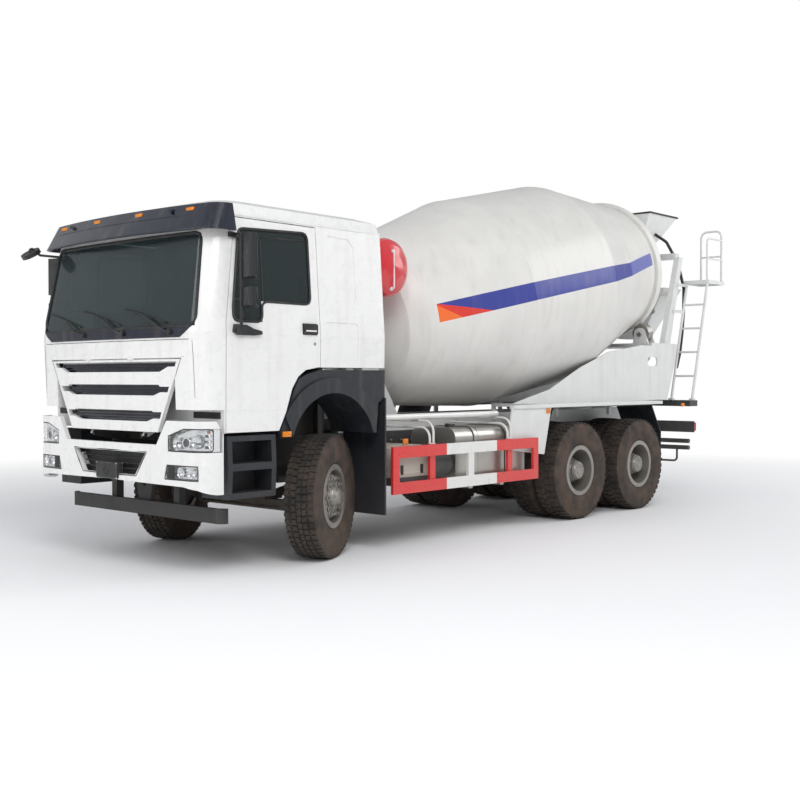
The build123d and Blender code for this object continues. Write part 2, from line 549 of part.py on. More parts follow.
with BuildPart() as under_run:
    plan_slab([(FRONT_AXLE_X + 1100, -1110), (FRONT_AXLE_X + 1140, -1110), (FRONT_AXLE_X + 1175, -1060),
               (FRONT_AXLE_X + 1175, 1060), (FRONT_AXLE_X + 1140, 1110), (FRONT_AXLE_X + 1100, 1110),
               (FRONT_AXLE_X + 1100, 1085), (FRONT_AXLE_X + 1135, 1045), (FRONT_AXLE_X + 1135, -1045),
               (FRONT_AXLE_X + 1100, -1085)], 430, 555)
    front_slab([(-70, 500), (70, 500), (150, 800), (-150, 800)], FRONT_AXLE_X + 1100, FRONT_AXLE_X + 1135)
    for side in SIDES.values():
        front_slab([(side * (FRAME_HALF + SEAT_GAP), 500), (side * 500, 500), (side * 500, 870),
                    (side * (FRAME_HALF + SEAT_GAP), 870)], FRONT_AXLE_X + 1060, FRONT_AXLE_X + 1135)
    block(FRONT_AXLE_X + 1100, FRONT_AXLE_X + 1170, -500, 500, 735, 795)
    rod((FRONT_AXLE_X + 1000, 0, 700), (FRONT_AXLE_X + 1300, 0, 700), 24, Mode.SUBTRACT)
save(under_run, "front_under_run_bar")

# Cab, a body lofted through five sections that lean in above the belt

# height, half width, front on the centre line, back, all of the outer skin
CAB_SECTIONS = [
    (1180.0, 1235.0, 1470.0, 0.0),
    (2000.0, 1245.0, 1500.0, -5.0),
    (2950.0, 1175.0, 1335.0, -10.0),
    (3060.0, 1125.0, 1265.0, -5.0),
    (3112.0, 960.0, 1080.0, 120.0),
]
CAB_CROWN = 55.0
CAB_CORNER = 200.0
CAB_REAR_CORNER = 50.0


def cab_body(inset, floor_z=None):
    """The cab's body as one solid, pulled in on every side by an inset."""
    last = len(CAB_SECTIONS) - 1
    with BuildPart() as body:
        for index, (z, half, front, back) in enumerate(CAB_SECTIONS):
            height = z
            if index == 0:
                height = z + inset if floor_z is None else floor_z
            if index >= last - 1:
                height = z - inset
            nose = FRONT_AXLE_X + front - inset
            rear = CAB_BACK_X + back + inset
            wide = half - inset
            with BuildSketch(Plane.XY.offset(height)) as section:
                with BuildLine():
                    Line((rear, -wide), (nose - CAB_CROWN, -wide))
                    ThreePointArc((nose - CAB_CROWN, -wide), (nose, 0), (nose - CAB_CROWN, wide))
                    Line((nose - CAB_CROWN, wide), (rear, wide))
                    Line((rear, wide), (rear, -wide))
                make_face()
                fillet(section.vertices().group_by(Axis.X)[-1], CAB_CORNER - inset)
                fillet(section.vertices().group_by(Axis.X)[0], CAB_REAR_CORNER + 5 - inset * 0.8)
        loft(ruled=True)
    return body.part


SILL_INNER = 1120.0
cab_outer = cab_body(0.0)
cab_cutter = cab_body(-SEAT_GAP)
cab_inner = cab_body(CAB_WALL)

# Outlines of the door and its window as (station from the front axle, height), and of the screen as (y, z)

DOOR_OUTLINE = [(1225, 1180), (1225, 2060), (1085, 2940), (175, 2940), (175, 1720), (349, 1693), (435, 1636),
                (503, 1536), (571, 1338), (650, 1180)]
DOOR_WINDOW = [(1138, 2090), (1138, 2200), (1043, 2850), (285, 2880), (285, 2262), (834, 2262), (834, 2090)]
SCREEN = [(-1115, SCREEN_BOTTOM_Z), (1115, SCREEN_BOTTOM_Z), (1045, SCREEN_TOP_Z), (-1045, SCREEN_TOP_Z)]


def grown(points, amount):
    """An outline moved outwards by an amount, as a private face on the XY plane."""
    with BuildSketch(mode=Mode.PRIVATE) as shape:
        with BuildLine():
            Polyline(*points, close=True)
        make_face()
        offset(amount=amount, kind=Kind.INTERSECTION)
    return shape.sketch


def side_prism(points, amount, side, mode):
    """Extrudes an outline of (station, z) points, grown by an amount, through one side of the cab."""
    plane = Plane(origin=(FRONT_AXLE_X, side * SILL_INNER, 0), x_dir=(1, 0, 0), z_dir=(0, -1, 0))
    extrude(plane * grown(points, amount), amount=side * (SILL_INNER - 1350), mode=mode)


def front_prism(points, amount, x0, x1, mode):
    """Extrudes an outline of (y, z) points, moved outwards by an amount, from x0 to x1."""
    plane = Plane(origin=(x0, 0, 0), x_dir=(0, 1, 0), z_dir=(1, 0, 0))
    extrude(plane * grown(points, amount), amount=x1 - x0, mode=mode)


LID = [(-LID_TOP_HALF, LID_TOP_Z), (-LID_BOTTOM_HALF, LID_BOTTOM_Z), (LID_BOTTOM_HALF, LID_BOTTOM_Z),
       (LID_TOP_HALF, LID_TOP_Z)]
TUNNEL_HALF = 430.0
TUNNEL_TOP_Z = 1640.0
TUNNEL_WALL = 30.0
LID_CAVITY_HALF = 880.0

# Hinge of the lid, a line in front of the skin; its knuckles lie in the gap over the lid
LID_PIN_X = FRONT_AXLE_X + 1494.0
LID_PIN_Z = LID_TOP_Z + LID_GAP / 2
LID_PIN_RADIUS = 4.0
LID_KNUCKLE_RADIUS = 6.5
LID_HINGES = (-320.0, 320.0)

# Step of the cab's floor over the wheel, its underside and its top, and the sill that runs out to the door
FLOOR_STEP = [(650, 1180), (571, 1338), (503, 1536), (435, 1636), (349, 1693), (175, 1720)]
FLOOR_STEP_TOP = [(700, 1195), (618, 1356), (550, 1556), (475, 1670), (370, 1741), (185, 1770)]
FLOOR_LINE = [(-730, 1000), (650, 1000), *FLOOR_STEP, (-730, 1720)]
FLOOR_TOP = [(-730, 1000), (700, 1000), *FLOOR_STEP_TOP, (-730, 1770)]
SILL = [(1225, 1180), *FLOOR_STEP, *reversed(FLOOR_STEP_TOP), (700, 1230), (1225, 1230)]
SILL_OUTER = 1180.0
COWL_Z = 1850.0

# Outlines of the two pressed panels behind each door as (station, z)
RECESSES = [[(59, 2885), (-230, 2872), (-294, 2800), (-294, 2300), (59, 2315)],
            [(112, 2118), (-304, 2116), (-304, 1774), (112, 1777)]]
RECESS_DEPTH = 6.0

with BuildPart() as cab_space:
    add(cab_inner)
    side_slab([(FRONT_AXLE_X + x, z) for x, z in FLOOR_TOP], -1400, 1400, mode=Mode.SUBTRACT)
    block(FIREWALL_X - 25, FRONT_AXLE_X + 1700, -1400, 1400, 1000, COWL_Z, Mode.SUBTRACT)
    block(FRONT_AXLE_X, FIREWALL_X, -TUNNEL_HALF - TUNNEL_WALL, TUNNEL_HALF + TUNNEL_WALL, 1000,
          TUNNEL_TOP_Z + TUNNEL_WALL, Mode.SUBTRACT)

with BuildPart() as recesses:
    add(cab_outer)
    add(cab_body(RECESS_DEPTH), mode=Mode.SUBTRACT)
    with BuildPart(mode=Mode.PRIVATE) as marks:
        for side in SIDES.values():
            for outline in RECESSES:
                side_slab([(FRONT_AXLE_X + x, z) for x, z in outline], side * SILL_INNER, side * 1350, radius=35)
    add(marks.part, mode=Mode.INTERSECT)

with BuildPart() as cab_shell:
    add(cab_outer)
    add(recesses.part, mode=Mode.SUBTRACT)
    add(cab_space.part, mode=Mode.SUBTRACT)
    side_slab([(FRONT_AXLE_X + x, z) for x, z in FLOOR_LINE], -1400, 1400, mode=Mode.SUBTRACT)
    block(FIREWALL_X, FRONT_AXLE_X + 1700, -1400, 1400, 1000, CAB_NOSE_Z, Mode.SUBTRACT)
    block(FRONT_AXLE_X, FIREWALL_X - 50, -TUNNEL_HALF, TUNNEL_HALF, 1000, TUNNEL_TOP_Z, Mode.SUBTRACT)
    block(FIREWALL_X + 25, FRONT_AXLE_X + 1700, -LID_CAVITY_HALF, LID_CAVITY_HALF, 1000, LID_TOP_Z - 30,
          Mode.SUBTRACT)
    front_prism(LID, LID_GAP, FRONT_AXLE_X + 1400, FRONT_AXLE_X + 1700, Mode.SUBTRACT)
    front_prism(SCREEN, 0.0, FRONT_AXLE_X + 1150, FRONT_AXLE_X + 1700, Mode.SUBTRACT)
    for side in SIDES.values():
        side_prism(DOOR_OUTLINE, DOOR_GAP / 2, side, Mode.SUBTRACT)
        side_slab([(FRONT_AXLE_X + x, z) for x, z in SILL], side * (SILL_INNER - 20), side * SILL_OUTER)
        side_slab([(FIREWALL_X - 2, 1200), (CAB_PIVOT_X - 30, CAB_PIVOT_Z - 18),
                   (CAB_PIVOT_X + 25, CAB_PIVOT_Z - 8), (CAB_PIVOT_X + 5, CAB_PIVOT_Z + 26), (FIREWALL_X - 2, 1330)], side * CAB_LUG_Y,
                  side * (CAB_LUG_Y + LUG_THICKNESS))
    rod((CAB_PIVOT_X, -450, CAB_PIVOT_Z), (CAB_PIVOT_X, 450, CAB_PIVOT_Z), CAB_PIN_RADIUS + RUNNING_GAP,
        Mode.SUBTRACT)
    for middle in LID_HINGES:
        for y in (middle - 26, middle + 26):
            rod((LID_PIN_X, y - 13, LID_PIN_Z), (LID_PIN_X, y + 13, LID_PIN_Z), LID_KNUCKLE_RADIUS)
            block(LID_PIN_X - 20, LID_PIN_X + 3, y - 13, y + 13, LID_PIN_Z + 5, LID_PIN_Z + 16)
        rod((LID_PIN_X, middle - 45, LID_PIN_Z), (LID_PIN_X, middle + 45, LID_PIN_Z), LID_PIN_RADIUS + RUNNING_GAP,
            Mode.SUBTRACT)
save(cab_shell, "cab_shell")

# Windscreen, set into its opening just under the outer skin

SCREEN_INSET = 8.0
screen_outer = cab_body(SCREEN_INSET)
screen_inner = cab_body(SCREEN_INSET + GLASS_THICKNESS)
with BuildPart() as windscreen:
    add(screen_outer)
    add(screen_inner, mode=Mode.SUBTRACT)
    front_prism(SCREEN, -SEAT_GAP, FRONT_AXLE_X + 1150, FRONT_AXLE_X + 1700, Mode.INTERSECT)
save(windscreen, "windscreen")

# Doors, their glass and the mirrors that each door carries

door_inner = cab_body(DOOR_THICKNESS, DOOR_BOTTOM_Z - DOOR_THICKNESS)
MIRROR_Y = 1405.0
for name, side in SIDES.items():
    with BuildPart() as door:
        add(cab_outer)
        add(door_inner, mode=Mode.SUBTRACT)
        side_prism(DOOR_OUTLINE, -DOOR_GAP / 2, side, Mode.INTERSECT)
        side_prism(DOOR_WINDOW, 0.0, side, Mode.SUBTRACT)
        handle_y = side * 1238
        block(FRONT_AXLE_X + 225, FRONT_AXLE_X + 380, handle_y, handle_y + side * 26, 2010, 2085)
    save(door, f"door_{name}")
    with BuildPart() as door_glass:
        add(screen_outer)
        add(screen_inner, mode=Mode.SUBTRACT)
        side_prism(DOOR_WINDOW, -SEAT_GAP, side, Mode.INTERSECT)
    save(door_glass, f"door_glass_{name}")
    with BuildPart() as mirrors:
        for low, high in ((2430, 2780), (2205, 2350)):
            with BuildSketch(Plane(origin=(FRONT_AXLE_X + 1125, side * MIRROR_Y, low),
                                   x_dir=(cos(radians(20)), -side * sin(radians(20)), 0),
                                   z_dir=(0, 0, 1))) as head:
                Rectangle(70, 205)
                fillet(head.vertices(), 25)
            extrude(head.sketch, amount=high - low)
        arm_x = FRONT_AXLE_X + 1140
        with BuildPart(mode=Mode.PRIVATE) as arm:
            bent_tube([(arm_x, side * 1225, 2010), (arm_x, side * (MIRROR_Y - 75), 2010),
                       (arm_x, side * (MIRROR_Y - 75), 2790), (arm_x - 60, side * 1165, 2790)], 13, 60)
            add(cab_cutter, mode=Mode.SUBTRACT)
        add(arm.part)
        for z in (2280, 2600):
            rod((arm_x, side * (MIRROR_Y - 75), z), (arm_x - 15, side * (MIRROR_Y - 20), z), 11)
    save(mirrors, f"mirrors_{name}")

# Lid over the grille, its slots cut through

# height of the slot's top at its ends and middle, of its bottom at its ends and middle, and its half widths
SLOTS = [(1762.0, 1762.0, 1720.0, 1678.0, 905.0, 800.0, 690.0),
         (1556.0, 1572.0, 1510.0, 1482.0, 805.0, 690.0, 600.0),
         (1346.0, 1356.0, 1292.0, 1266.0, 698.0, 590.0, 500.0)]
LID_CORNER_HALF = 912.0
LID_CORNER_SKIN = 8.0
with BuildPart() as lid:
    add(cab_outer)
    add(cab_body(LID_THICKNESS, LID_BOTTOM_Z - 5), mode=Mode.SUBTRACT)
    front_prism(LID, 0.0, FRONT_AXLE_X + 1300, FRONT_AXLE_X + 1700, Mode.INTERSECT)
    for end_top, top, end_low, low, reach, shoulder, core in SLOTS:
        half = [(reach, end_top), (shoulder, end_top), (shoulder - 20, top), (-shoulder + 20, top),
                (-shoulder, end_top), (-reach, end_top)]
        under = [(-reach + 22, end_low), (-shoulder, end_low), (-core, low), (core, low), (shoulder, end_low),
                 (reach - 22, end_low)]
        if top == end_top:
            half = [half[0], half[-1]]
        front_slab(half + under, FRONT_AXLE_X + 1300, FRONT_AXLE_X + 1700, mode=Mode.SUBTRACT)
    with BuildPart(mode=Mode.PRIVATE) as corners:
        add(cab_body(LID_CORNER_SKIN))
        with BuildPart(mode=Mode.PRIVATE) as ends:
            for side in SIDES.values():
                block(FRONT_AXLE_X + 1300, FRONT_AXLE_X + 1600, side * LID_CORNER_HALF, side * (LID_TOP_HALF + 20),
                      LID_TOP_Z - 110, LID_TOP_Z + 10)
        add(ends.part, mode=Mode.INTERSECT)
    add(corners.part, mode=Mode.SUBTRACT)
    for middle in LID_HINGES:
        rod((LID_PIN_X, middle - 9, LID_PIN_Z), (LID_PIN_X, middle + 9, LID_PIN_Z), LID_KNUCKLE_RADIUS)
        rod((LID_PIN_X, middle - 38, LID_PIN_Z), (LID_PIN_X, middle + 38, LID_PIN_Z), LID_PIN_RADIUS)
        block(LID_PIN_X - 15, LID_PIN_X + 4, middle - 9, middle + 9, LID_TOP_Z - 12, LID_PIN_Z - 3)
save(lid, "grille_lid")

# Inside the cab: seats, dash and wheel

SEAT_FLOOR_Z = CAB_FLOOR_Z + CAB_WALL + SEAT_GAP
with BuildPart() as seats:
    for side in SIDES.values():
        y0, y1 = side * 330, side * 830
        block(FRONT_AXLE_X - 260, FRONT_AXLE_X + 150, y0 + side * 60, y1 - side * 60, SEAT_FLOOR_Z, 1960)
        side_slab([(FRONT_AXLE_X - 330, 1960), (FRONT_AXLE_X + 190, 1960), (FRONT_AXLE_X + 220, 2090),
                   (FRONT_AXLE_X - 300, 2070), (FRONT_AXLE_X - 400, 2690), (FRONT_AXLE_X - 500, 2680),
                   (FRONT_AXLE_X - 420, 2000)], y0, y1, radius=20)
        side_slab([(FRONT_AXLE_X - 405, 2670), (FRONT_AXLE_X - 430, 2850), (FRONT_AXLE_X - 500, 2840),
                   (FRONT_AXLE_X - 495, 2670)], y0 + side * 110, y1 - side * 110)
save(seats, "seats")

with BuildPart() as dashboard:
    side_slab([(FIREWALL_X - 25 - SEAT_GAP, COWL_Z - 120), (FIREWALL_X - 25 - SEAT_GAP, 1990),
               (FRONT_AXLE_X + 1150, 2050), (FRONT_AXLE_X + 980, 2040), (FRONT_AXLE_X + 930, 1900),
               (FRONT_AXLE_X + 1020, COWL_Z - 120)], -1080, 1080)
    wheel_centre = Vector(FRONT_AXLE_X + 790, 580, 2120)
    rake = Vector(-0.78, 0, 0.62).normalized()
    rod((FRONT_AXLE_X + 1000, 580, 1953), tuple(wheel_centre), 26)
    with BuildSketch(Plane(origin=wheel_centre + Vector(0, 215, 0), x_dir=(0, 1, 0),
                           z_dir=rake.cross(Vector(0, 1, 0)))) as rim_section:
        Circle(16)
    revolve(rim_section.sketch, axis=Axis(wheel_centre, rake))
    rod(tuple(wheel_centre + Vector(0, -215, 0)), tuple(wheel_centre + Vector(0, 215, 0)), 13)
save(dashboard, "dashboard")

# Sun visor, a curved shade in front of the screen's top that wraps round the corners

VISOR_LOW_Z = 2815.0
VISOR_HIGH_Z = 3040.0
VISOR_REAR_X = FRONT_AXLE_X + 1130.0
VISOR_SKIN = 24.0


def visor_plan(z, half, corner, nose):
    """The visor's outline in plan at a height: half width, and its corner's and nose's stations."""
    rear = FRONT_AXLE_X + 900
    with BuildSketch(Plane.XY.offset(z)) as plan:
        with BuildLine():
            Line((rear, -half), (FRONT_AXLE_X + corner, -half))
            ThreePointArc((FRONT_AXLE_X + corner, -half), (FRONT_AXLE_X + nose, 0), (FRONT_AXLE_X + corner, half))
            Line((FRONT_AXLE_X + corner, half), (rear, half))
            Line((rear, half), (rear, -half))
        make_face()
        fillet(plan.vertices().group_by(Axis.X)[-1], 150)
    return plan.sketch


with BuildPart() as visor:
    loft([visor_plan(VISOR_LOW_Z, 1262, 1370, 1510), visor_plan(VISOR_HIGH_Z, 1215, 1270, 1380)], ruled=True)
    loft([visor_plan(VISOR_LOW_Z - 10, 1262 - VISOR_SKIN, 1350, 1510 - VISOR_SKIN),
          visor_plan(VISOR_HIGH_Z + 2, 1215 - VISOR_SKIN, 1245, 1380 - VISOR_SKIN)], ruled=True,
         mode=Mode.SUBTRACT)
    block(FRONT_AXLE_X + 800, VISOR_REAR_X, -1300, 1300, VISOR_LOW_Z - 20, VISOR_HIGH_Z + 20, Mode.SUBTRACT)
    for y in (-760, -20, 720):
        block(FRONT_AXLE_X + 1200, FRONT_AXLE_X + 1392, y, y + 40, 2985, 3005)
    for side in SIDES.values():
        block(FRONT_AXLE_X + 1140, FRONT_AXLE_X + 1180, side * 1100, side * 1212, 2985, 3005)
    add(cab_cutter, mode=Mode.SUBTRACT)
save(visor, "sun_visor")

# Round mirror that looks down the front, on its bent arm at the right corner

with BuildPart() as front_mirror:
    bent_tube([(FRONT_AXLE_X + 1240, -1120, 2760), (FRONT_AXLE_X + 1420, -1230, 2775),
               (FRONT_AXLE_X + 1500, -1262, 2850), (FRONT_AXLE_X + 1510, -1262, 2790)], 11, 20)
    with BuildSketch(Plane(origin=(FRONT_AXLE_X + 1505, -1262, 2800), x_dir=(0.83, 0, -0.55),
                           z_dir=(-0.55, 0.0, -0.83))) as bowl:
        Ellipse(88, 100)
    extrude(bowl.sketch, amount=38)
    add(cab_cutter, mode=Mode.SUBTRACT)
save(front_mirror, "front_view_mirror")

# Cab steps, mudguards over the front wheels and the flaps behind them

STEP_FRONT_X = FRONT_AXLE_X + 1205.0
STEP_REAR_X = FRONT_AXLE_X + 645.0
GUARD_INNER = 700.0
GUARD_OUTER = 1245.0
FLARE = 20.0
ARCH_EDGE = [(-500, 1125), (0, 1495), (500, 1125)]
FLARE_EDGE = [(-560, 1300), (60, 1630), (585, 1300)]
ARCH_PLATE = [(632, 1125), (632, 1165), (552, 1326), (470, 1518), (414, 1620), (338, 1652), (165, 1698),
              (-672, 1700), (-672, 1440), (-585, 1400), (-560, 1125)]
with BuildPart() as steps:
    for side in SIDES.values():
        front_slab([(side * 900, 640), (side * 1225, 640), (side * 1238, 900), (side * 1225, 1155),
                    (side * 900, 1155)], STEP_REAR_X + 40, STEP_FRONT_X)
        for low in (690, 930):
            block(STEP_REAR_X + 90, STEP_FRONT_X - 50, side * 1010, side * 1300, low, low + 180, Mode.SUBTRACT)
        block(STEP_REAR_X + 150, STEP_REAR_X + 250, side * (FRAME_HALF + SEAT_GAP), side * 905, 880, 980)
save(steps, "cab_steps")

with BuildPart() as mudguards:
    for side in SIDES.values():
        for rim, inner, outer in ((ARCH_PLATE, GUARD_INNER, GUARD_OUTER - FLARE),
                                  (None, GUARD_OUTER - FLARE, GUARD_OUTER)):
            plane = Plane(origin=(FRONT_AXLE_X, side * inner, 0), x_dir=(1, 0, 0), z_dir=(0, -1, 0))
            with BuildSketch(plane) as arch:
                with BuildLine():
                    ThreePointArc(*ARCH_EDGE)
                    if rim:
                        Polyline(ARCH_EDGE[2], *rim, ARCH_EDGE[0])
                    else:
                        Line(ARCH_EDGE[2], FLARE_EDGE[2])
                        ThreePointArc(*FLARE_EDGE)
                        Line(FLARE_EDGE[0], ARCH_EDGE[0])
                make_face()
            extrude(arch.sketch, amount=side * (inner - outer))
        block(FRONT_AXLE_X - 672, FRONT_AXLE_X - 652, side * GUARD_INNER, side * GUARD_OUTER, 350, 1445)
        block(FRONT_AXLE_X - 700, FRONT_AXLE_X - 650, side * (FRAME_HALF + SEAT_GAP), side * (GUARD_INNER + 5),
              900, 960)
save(mudguards, "front_mudguards")

# Things that hang on the frame: fuel tank and air tanks at the left, silencer and filter at the right

TANK_FRONT_X = FRONT_AXLE_X - 1850.0
TANK_REAR_X = REAR_AXLES["1"] + 975.0
with BuildPart() as fuel_tank:
    front_slab([(520, 520), (1120, 520), (1120, 1120), (520, 1120)], TANK_REAR_X, TANK_FRONT_X, radius=110)
    rod((TANK_FRONT_X - 180, 900, 1110), (TANK_FRONT_X - 180, 900, 1160), 50)
    for x in (TANK_FRONT_X - 330, TANK_REAR_X + 330):
        front_slab([(512, 512), (1128, 512), (1128, 1128), (512, 1128)], x - 30, x + 30, radius=116)
        front_slab([(FRAME_HALF + SEAT_GAP, 1060), (FRAME_HALF + SEAT_GAP, 820), (520, 480), (1060, 480),
                    (1060, 530), (560, 530), (530, 1060)], x - 30, x + 30)
save(fuel_tank, "fuel_tank")

with BuildPart() as battery_box:
    block(FRONT_AXLE_X - 1420, FRONT_AXLE_X - 860, 600, 1140, 600, 900)
    block(FRONT_AXLE_X - 1400, FRONT_AXLE_X - 880, 620, 1120, 899, 960)
    for z, y in ((760, 760), (760, 1010)):
        rod((FRONT_AXLE_X - 1800, y, z), (FRONT_AXLE_X - 1440, y, z), 115)
    block(FRONT_AXLE_X - 1760, FRONT_AXLE_X - 900, FRAME_HALF + SEAT_GAP, 1000, 900, 950)
    block(FRONT_AXLE_X - 1760, FRONT_AXLE_X - 1480, 640, 1050, 860, 950)
save(battery_box, "battery_box_and_air_tanks")

with BuildPart() as silencer:
    block(FRONT_AXLE_X - 1750, FRONT_AXLE_X - 950, -1120, -560, 520, 1050)
    rod((FRONT_AXLE_X - 1350, -1150, 650), (FRONT_AXLE_X - 1350, -1100, 650), 60)
    block(FRONT_AXLE_X - 1650, FRONT_AXLE_X - 1550, -570, -FRAME_HALF - SEAT_GAP, 860, 960)
    block(FRONT_AXLE_X - 1150, FRONT_AXLE_X - 1050, -570, -FRAME_HALF - SEAT_GAP, 860, 960)
save(silencer, "exhaust_silencer")

with BuildPart() as intake:
    block(FRONT_AXLE_X - 900, FRONT_AXLE_X - 730, -1240, -1070, 2150, 3000)
    rod((FRONT_AXLE_X - 815, -1155, 1380), (FRONT_AXLE_X - 815, -1155, 2160), 70)
    rod((FRONT_AXLE_X - 1060, -960, 1380), (FRONT_AXLE_X - 720, -960, 1380), 190)
    block(FRONT_AXLE_X - 900, FRONT_AXLE_X - 840, -960, -FRAME_HALF - SEAT_GAP, 1056, 1080)
    block(FRONT_AXLE_X - 900, FRONT_AXLE_X - 840, -1000, -900, 1056, 1200)
save(intake, "air_intake")

# Side guards, two rails on posts with arms back to the frame

GUARD_FRONT_X = FRONT_AXLE_X - 770.0
GUARD_REAR_X = REAR_AXLES["1"] + 885.0
GUARD_Y = 1245.0
GUARD_LOW_Z = 530.0
GUARD_TOP_Z = 980.0
GUARD_RAIL = 110.0
GUARD_DEPTH = 32.0
POST_HALF = 45.0

# Pairs of bent tubes that hang each guard on the sub-frame, under a long rail
GUARD_HANG_Y = 1198.0
GUARD_HANG_Z = 1205.0
HANG_TUBE_RADIUS = 12.0
HANG_RAIL_Y = 1000.0
HANG_RAIL_RADIUS = 30.5
with BuildPart() as guards:
    for side in SIDES.values():
        face = side * GUARD_Y
        back = side * (GUARD_Y - GUARD_DEPTH)
        for low in (GUARD_LOW_Z, GUARD_TOP_Z - GUARD_RAIL):
            block(GUARD_REAR_X, GUARD_FRONT_X, face, back, low, low + GUARD_RAIL)
        for share in (0.0, 0.5, 1.0):
            x = GUARD_FRONT_X - POST_HALF + (GUARD_REAR_X - GUARD_FRONT_X + 2 * POST_HALF) * share
            block(x - POST_HALF, x + POST_HALF, face, back, GUARD_LOW_Z, GUARD_TOP_Z)
        for x in (GUARD_FRONT_X - 610, GUARD_REAR_X + 480):
            block(x - 40, x + 40, back + side * 2, side * (GUARD_Y - GUARD_DEPTH - 28), GUARD_LOW_Z + 30,
                  GUARD_TOP_Z + 12)
            for shift, rise in ((-28.0, 0.0), (28.0, -60.0)):
                height = GUARD_HANG_Z + rise
                tube_x = x + shift
                bent_tube([(tube_x, side * (FRAME_HALF + SEAT_GAP), height), (tube_x, side * GUARD_HANG_Y, height),
                           (tube_x, side * GUARD_HANG_Y, GUARD_TOP_Z)], HANG_TUBE_RADIUS, 110)
        rail_x = GUARD_FRONT_X - (110 if side > 0 else 620)
        rail_z = GUARD_HANG_Z + 42
        rod((rail_x, side * HANG_RAIL_Y, rail_z), (GUARD_REAR_X + 440, side * HANG_RAIL_Y, rail_z), HANG_RAIL_RADIUS)
save(guards, "side_guards")

# Sub-frame of the mixer on the frame's top, with the stand that carries the drum's drive

SUBFRAME_TOP_Z = 1230.0
SUBFRAME_FRONT_X = FRONT_AXLE_X - 860.0
SUBFRAME_REAR_X = FRONT_AXLE_X - 6900.0
DRIVE_BACK = -520.0
DRIVE_FRONT = -860.0
DRIVE_RADIUS = 215.0
DRIVE_SHAFT_RADIUS = 60.0
TANK_X = FRONT_AXLE_X - 1020.0
TANK_Z = 2700.0

tilt = radians(DRUM_TILT)
drum_along = Vector(-cos(tilt), 0, sin(tilt))
drum_up = Vector(sin(tilt), 0, cos(tilt))
drum_start = Vector(DRUM_START_X, 0, DRUM_START_Z)
drum_section = Plane(origin=drum_start, x_dir=drum_along, z_dir=(0, 1, 0))
drum_axis = Axis(drum_start, drum_along)


def on_drum(station, up=0.0, across=0.0):
    """A point by its station along the drum's axis, its height off the axis and its place across."""
    return drum_start + drum_along * station + drum_up * up + Vector(0, across, 0)


def drum_ring(outline, mode=Mode.ADD):
    """Revolves an outline of (station, radius) points about the drum's axis in the open part."""
    with BuildSketch(drum_section) as section:
        with BuildLine():
            Polyline(*outline, close=True)
        make_face()
    revolve(section.sketch, axis=drum_axis, mode=mode)


with BuildPart() as subframe:
    for side in SIDES.values():
        block(SUBFRAME_REAR_X, SUBFRAME_FRONT_X, side * (FRAME_HALF - FRAME_FLANGE), side * FRAME_HALF,
              FRAME_TOP_Z, SUBFRAME_TOP_Z)
    for station in (-930.0, -1760.0, -2900.0, -3900.0, -4900.0, -5950.0, -6850.0):
        x = FRONT_AXLE_X + station
        block(x - 50, x + 50, -FRAME_HALF + 10, FRAME_HALF - 10, FRAME_TOP_Z + 30, SUBFRAME_TOP_Z - 10)
    seat_low = on_drum(DRIVE_FRONT + 60)
    seat_high = on_drum(DRIVE_BACK - 60)
    for side in SIDES.values():
        side_slab([(SUBFRAME_FRONT_X - 40, SUBFRAME_TOP_Z - 5), (SUBFRAME_FRONT_X - 900, SUBFRAME_TOP_Z - 5),
                   (seat_high.X - 90, 1900), (seat_low.X + 30, 1880)], side * 395, side * 425)
        side_slab([(SUBFRAME_FRONT_X - 160, SUBFRAME_TOP_Z + 60), (SUBFRAME_FRONT_X - 640, SUBFRAME_TOP_Z + 60),
                   (seat_high.X - 20, 1760), (seat_low.X - 50, 1740)], side * 390, side * 430,
                  mode=Mode.SUBTRACT)
    block(seat_high.X - 90, seat_low.X + 40, -425, 425, 1790, 1850)
    front_slab([(-330, 1840), (330, 1840), (250, 2060), (-250, 2060)], seat_high.X - 60, seat_low.X + 20)
    drum_ring([(DRIVE_FRONT - 60, 0), (DRIVE_FRONT - 60, DRIVE_RADIUS + SEAT_GAP),
               (DRIVE_BACK + 60, DRIVE_RADIUS + SEAT_GAP), (DRIVE_BACK + 60, 0)], Mode.SUBTRACT)
    for y in (-600.0, 600.0):
        block(TANK_X - 150, TANK_X + 150, y - 40, y + 40, TANK_Z - 350, TANK_Z - 330 - SEAT_GAP)
        block(TANK_X - 40, TANK_X + 40, y - 40, y + 40, 1150, TANK_Z - 349)
    block(TANK_X - 40, TANK_X + 40, -640, 640, 1130, 1200)
save(subframe, "mixer_subframe")

with BuildPart() as drive:
    drum_ring([(DRIVE_FRONT, 0), (DRIVE_FRONT, 150), (DRIVE_FRONT + 60, DRIVE_RADIUS), (DRIVE_BACK, DRIVE_RADIUS),
               (DRIVE_BACK, DRIVE_SHAFT_RADIUS), (DRIVE_BACK + 90, DRIVE_SHAFT_RADIUS), (DRIVE_BACK + 90, 0)])
    rod(tuple(on_drum(DRIVE_FRONT + 20, -60)), tuple(on_drum(DRIVE_FRONT - 120, -60)), 80)
save(drive, "drum_drive")

# Drum: its outer wall by station and radius, the roller ring, and the flange that the drive turns

